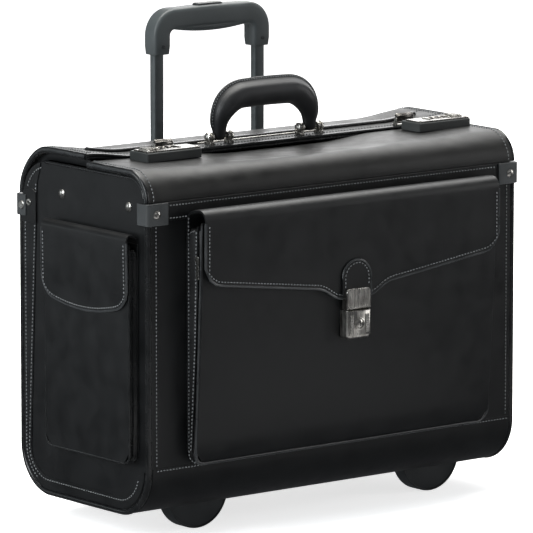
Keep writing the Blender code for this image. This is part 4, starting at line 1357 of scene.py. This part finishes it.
def make_wheel(label):
    low, high = box_mm(f"wheel_tyre_{label}")
    centre = at(*[(a + b) / 2 for a, b in zip(low, high)])
    radius = (high[2] - low[2]) / 2
    half = (high[0] - low[0]) / 2
    tread = [(-half, radius - 6.6), (-half, radius - 3), (-half + 1.2, radius - 1.0), (-half + 3.4, radius)]
    tread += [(-1.6, radius), (-1.2, radius - 1.0), (1.2, radius - 1.0), (1.6, radius)]
    tread += [(half - 3.4, radius), (half - 1.2, radius - 1.0), (half, radius - 3), (half, radius - 6.6)]
    rings = []
    for along, reach in tread:
        rings.append([centre + Vector((along, reach * math.cos(t), reach * math.sin(t))) * MM
                      for t in [2 * math.pi * i / 48 for i in range(48)]])
    body = f"wheel_{label}"
    add(f"tyre_{label}", loft(rings, caps=False), RUBBER, body,
            cad=(f"wheel_tyre_{label}",))
    rim = radius - 7.0
    profile = [(-half - 3.4, 2.6), (-half - 0.2, 2.8), (-half + 0.2, 6.5), (-half + 2.6, 7.5)]
    profile += [(-half + 2.6, rim - 3), (-half + 0.3, rim - 2), (-half + 0.3, rim)]
    profile += [(-along, reach) for along, reach in profile[::-1]]
    add(f"hub_{label}", turned(profile, centre, "x", 36), PLASTIC, body,
            cad=(f"wheel_hub_{label}",))
    holes = []
    for face in (-1, 1):
        for i in range(5):
            angle = 2 * math.pi * i / 5
            spot = centre + Vector((face * (half - 2.0), 12.0 * math.cos(angle), 12.0 * math.sin(angle))) * MM
            holes.append(turned([(-0.9, 2.6), (0.9, 2.6)], spot, "x", 12))
    add(f"hub_bosses_{label}", joined(holes), GRIP_PLASTIC, body, bevel=0.3)
    paint(f"wheel_housing_{label}", PLASTIC)


def make_foot(label):
    """A half-round standing foot: a flat face inside a fine raised lip."""
    low, high = box_mm(f"stand_foot_{label}")
    x = (low[0] + high[0]) / 2
    front = low[1]
    back = high[1]
    ground = -GROUND / MM
    radius = 37.0
    centre = (x, ground + radius)
    top = high[2] + 0.2
    start = math.degrees(math.asin((top - centre[1]) / radius))
    rings = []
    for along, reach in ((front + 0.9, radius - 3.2), (front + 0.9, radius - 2.0), (front, radius - 1.6),
                         (front, radius - 0.7), (front + 0.7, radius - 0.1), (front + 1.6, radius),
                         (back - 2.0, radius), (back, radius - 1.6)):
        angles = arc(centre, reach, -180 - start, start, 40)
        rings.append([place("xz", u, min(v, top), along) for u, v in angles])
    add(f"foot_{label}", loft(rings), PLASTIC, "case",
            cad=(f"stand_foot_{label}",), smooth_angle=30)


def dress_inside():
    """The lined boards and the divider, with bound edges, and the mouth's steel strips."""
    for name, material in (("base_board", LINING), ("inner_divider", LINING),
                           ("mouth_frame_left", GUNMETAL), ("mouth_frame_right", GUNMETAL)):
        paint(name, material)
    low, high = box_mm("inner_divider")
    path = [at(x, (low[1] + high[1]) / 2, high[2]) for x in range(-219, 220, 12)]
    add("divider_binding", sweep(path, rounded(3.0, 2.2, 1.5, 4), Vector((0, 0, 1))), LEATHER, "case")


def make_zip_puller():
    low, high = box_mm("zip_puller")
    x = (low[0] + high[0]) / 2
    y = (low[1] + high[1]) / 2
    base, top = low[2], high[2]
    outline = [(y - 2.6, base), (y + 2.6, base), (y + 1.7, top - 5), (y - 1.7, top - 5)]
    tab = prism(outline, "yz", x - 0.5, x + 0.5)
    ring = block((x - 0.9, y - 2.4, top - 6), (x + 0.9, y + 2.4, top))
    add("zip_tab", joined([tab, ring]), BRIGHT, "zip_puller", cad=("zip_puller",), bevel=0.3)


# ---------------------------------------------------------------- studio


def make_studio():
    floor = bpy.data.objects.new("floor", bpy.data.meshes.new("floor"))
    bm = bmesh.new()
    bmesh.ops.create_grid(bm, x_segments=1, y_segments=1, size=12)
    bm.to_mesh(floor.data)
    bm.free()
    bpy.context.collection.objects.link(floor)
    floor_material, tree, shader = principled("floor", (0.9, 0.9, 0.9), 0.9)
    shader.inputs["Specular IOR Level"].default_value = 0.0
    shader.inputs["Emission Color"].default_value = (1, 1, 1, 1)
    coords = tree.nodes.new("ShaderNodeTexCoord")
    reach = tree.nodes.new("ShaderNodeVectorMath")
    reach.operation = "LENGTH"
    tree.links.new(coords.outputs["Object"], reach.inputs[0])
    glow = map_range(tree, reach.outputs["Value"], 0.25, 1.3, 0.72, 1.1)
    tree.links.new(glow, shader.inputs["Emission Strength"])
    floor.data.materials.append(floor_material)
    floor.visible_glossy = False

    world = bpy.data.worlds.new("studio")
    bpy.context.scene.world = world
    world.use_nodes = True
    nodes = world.node_tree.nodes
    links = world.node_tree.links
    background = nodes["Background"]
    background.inputs["Color"].default_value = (0.9, 0.93, 1.0, 1)
    background.inputs["Strength"].default_value = 0.07
    seen = nodes.new("ShaderNodeBackground")
    seen.inputs["Color"].default_value = (1, 1, 1, 1)
    seen.inputs["Strength"].default_value = 1.0
    mix = nodes.new("ShaderNodeMixShader")
    path = nodes.new("ShaderNodeLightPath")
    links.new(path.outputs["Is Camera Ray"], mix.inputs["Fac"])
    links.new(background.outputs["Background"], mix.inputs[1])
    links.new(seen.outputs["Background"], mix.inputs[2])
    links.new(mix.outputs["Shader"], nodes["World Output"].inputs["Surface"])

    def softbox(name, place_at, aim, size, power, colour=(1, 1, 1)):
        data = bpy.data.lights.new(name, "AREA")
        data.shape = "RECTANGLE"
        data.size, data.size_y = size
        data.energy = power
        data.color = colour
        lamp = bpy.data.objects.new(name, data)
        lamp.location = place_at
        lamp.rotation_euler = (Vector(aim) - Vector(place_at)).to_track_quat("-Z", "Y").to_euler()
        bpy.context.collection.objects.link(lamp)

    softbox("top_light", (0.0, 0.3, 2.3), (0, 0, 0.3), (2.4, 1.2), 85, (1.0, 0.99, 0.95))
    softbox("lid_light", (1.6, 0.9, 1.9), (0, 0, 0.33), (2.2, 1.6), 32)
    softbox("left_light", (-2.6, -0.2, 1.3), (0, 0, 0.25), (0.9, 1.8), 60, (0.92, 0.97, 1.0))
    softbox("front_light", (-0.6, -3.0, 1.9), (0, 0, 0.2), (2.0, 0.8), 4, (0.96, 0.98, 1.0))
    softbox("right_light", (2.4, -1.6, 0.9), (0, 0, 0.2), (0.5, 1.6), 14)
    softbox("back_light", (1.7, 2.2, 0.85), (0, 0, 0.3), (3.4, 0.8), 22)
    softbox("floor_card_near", (-0.1, -0.42, 0.006), (-0.1, -0.42, 1.0), (0.9, 0.28), 0.5)
    softbox("end_light", (-1.5, 1.3, 0.4), (-0.23, 0, 0.25), (0.6, 0.5), 1.8, (0.9, 0.97, 1.0))
    softbox("band_card", (0.40, -1.05, 0.01), (0.40, -1.05, 1.0), (0.16, 0.9), 0.6)

    azimuth = math.radians(-38.3)
    elevation = math.radians(9.34)
    distance = 5.704
    target = at(-1.4, 3.1, 209.6)
    back = Vector((
        math.sin(azimuth) * math.cos(elevation),
        -math.cos(azimuth) * math.cos(elevation),
        math.sin(elevation),
    ))
    data = bpy.data.cameras.new("camera")
    data.sensor_width = 36
    data.lens = 390
    data.clip_end = 100
    camera = bpy.data.objects.new("camera", data)
    camera.location = target + back * distance
    camera.rotation_euler = (-back).to_track_quat("-Z", "Y").to_euler()
    bpy.context.collection.objects.link(camera)
    bpy.context.scene.camera = camera
    bpy.context.scene.view_settings.view_transform = "Standard"


make_studio()
make_body()
make_corner_patches()
make_hinge_strips()
make_lids()
make_front_pocket()
make_front_flap()
make_push_lock()
make_zip_puller()
make_carry_handle()
make_handle_brackets()
make_trolley()
make_trolley_cover()
dress_inside()
for label, side in SIDES:
    make_end(label, side)
    make_piping(label, side)
    make_clip(f"front_clip_{label}", side, -1, FRONT_Z)
    make_clip(f"back_clip_{label}", side, 1, BACK_Z)
    make_side_pocket(label, side)
    make_combination_lock(label)
    make_wheel(label)
    make_foot(label)
sew_stitches()
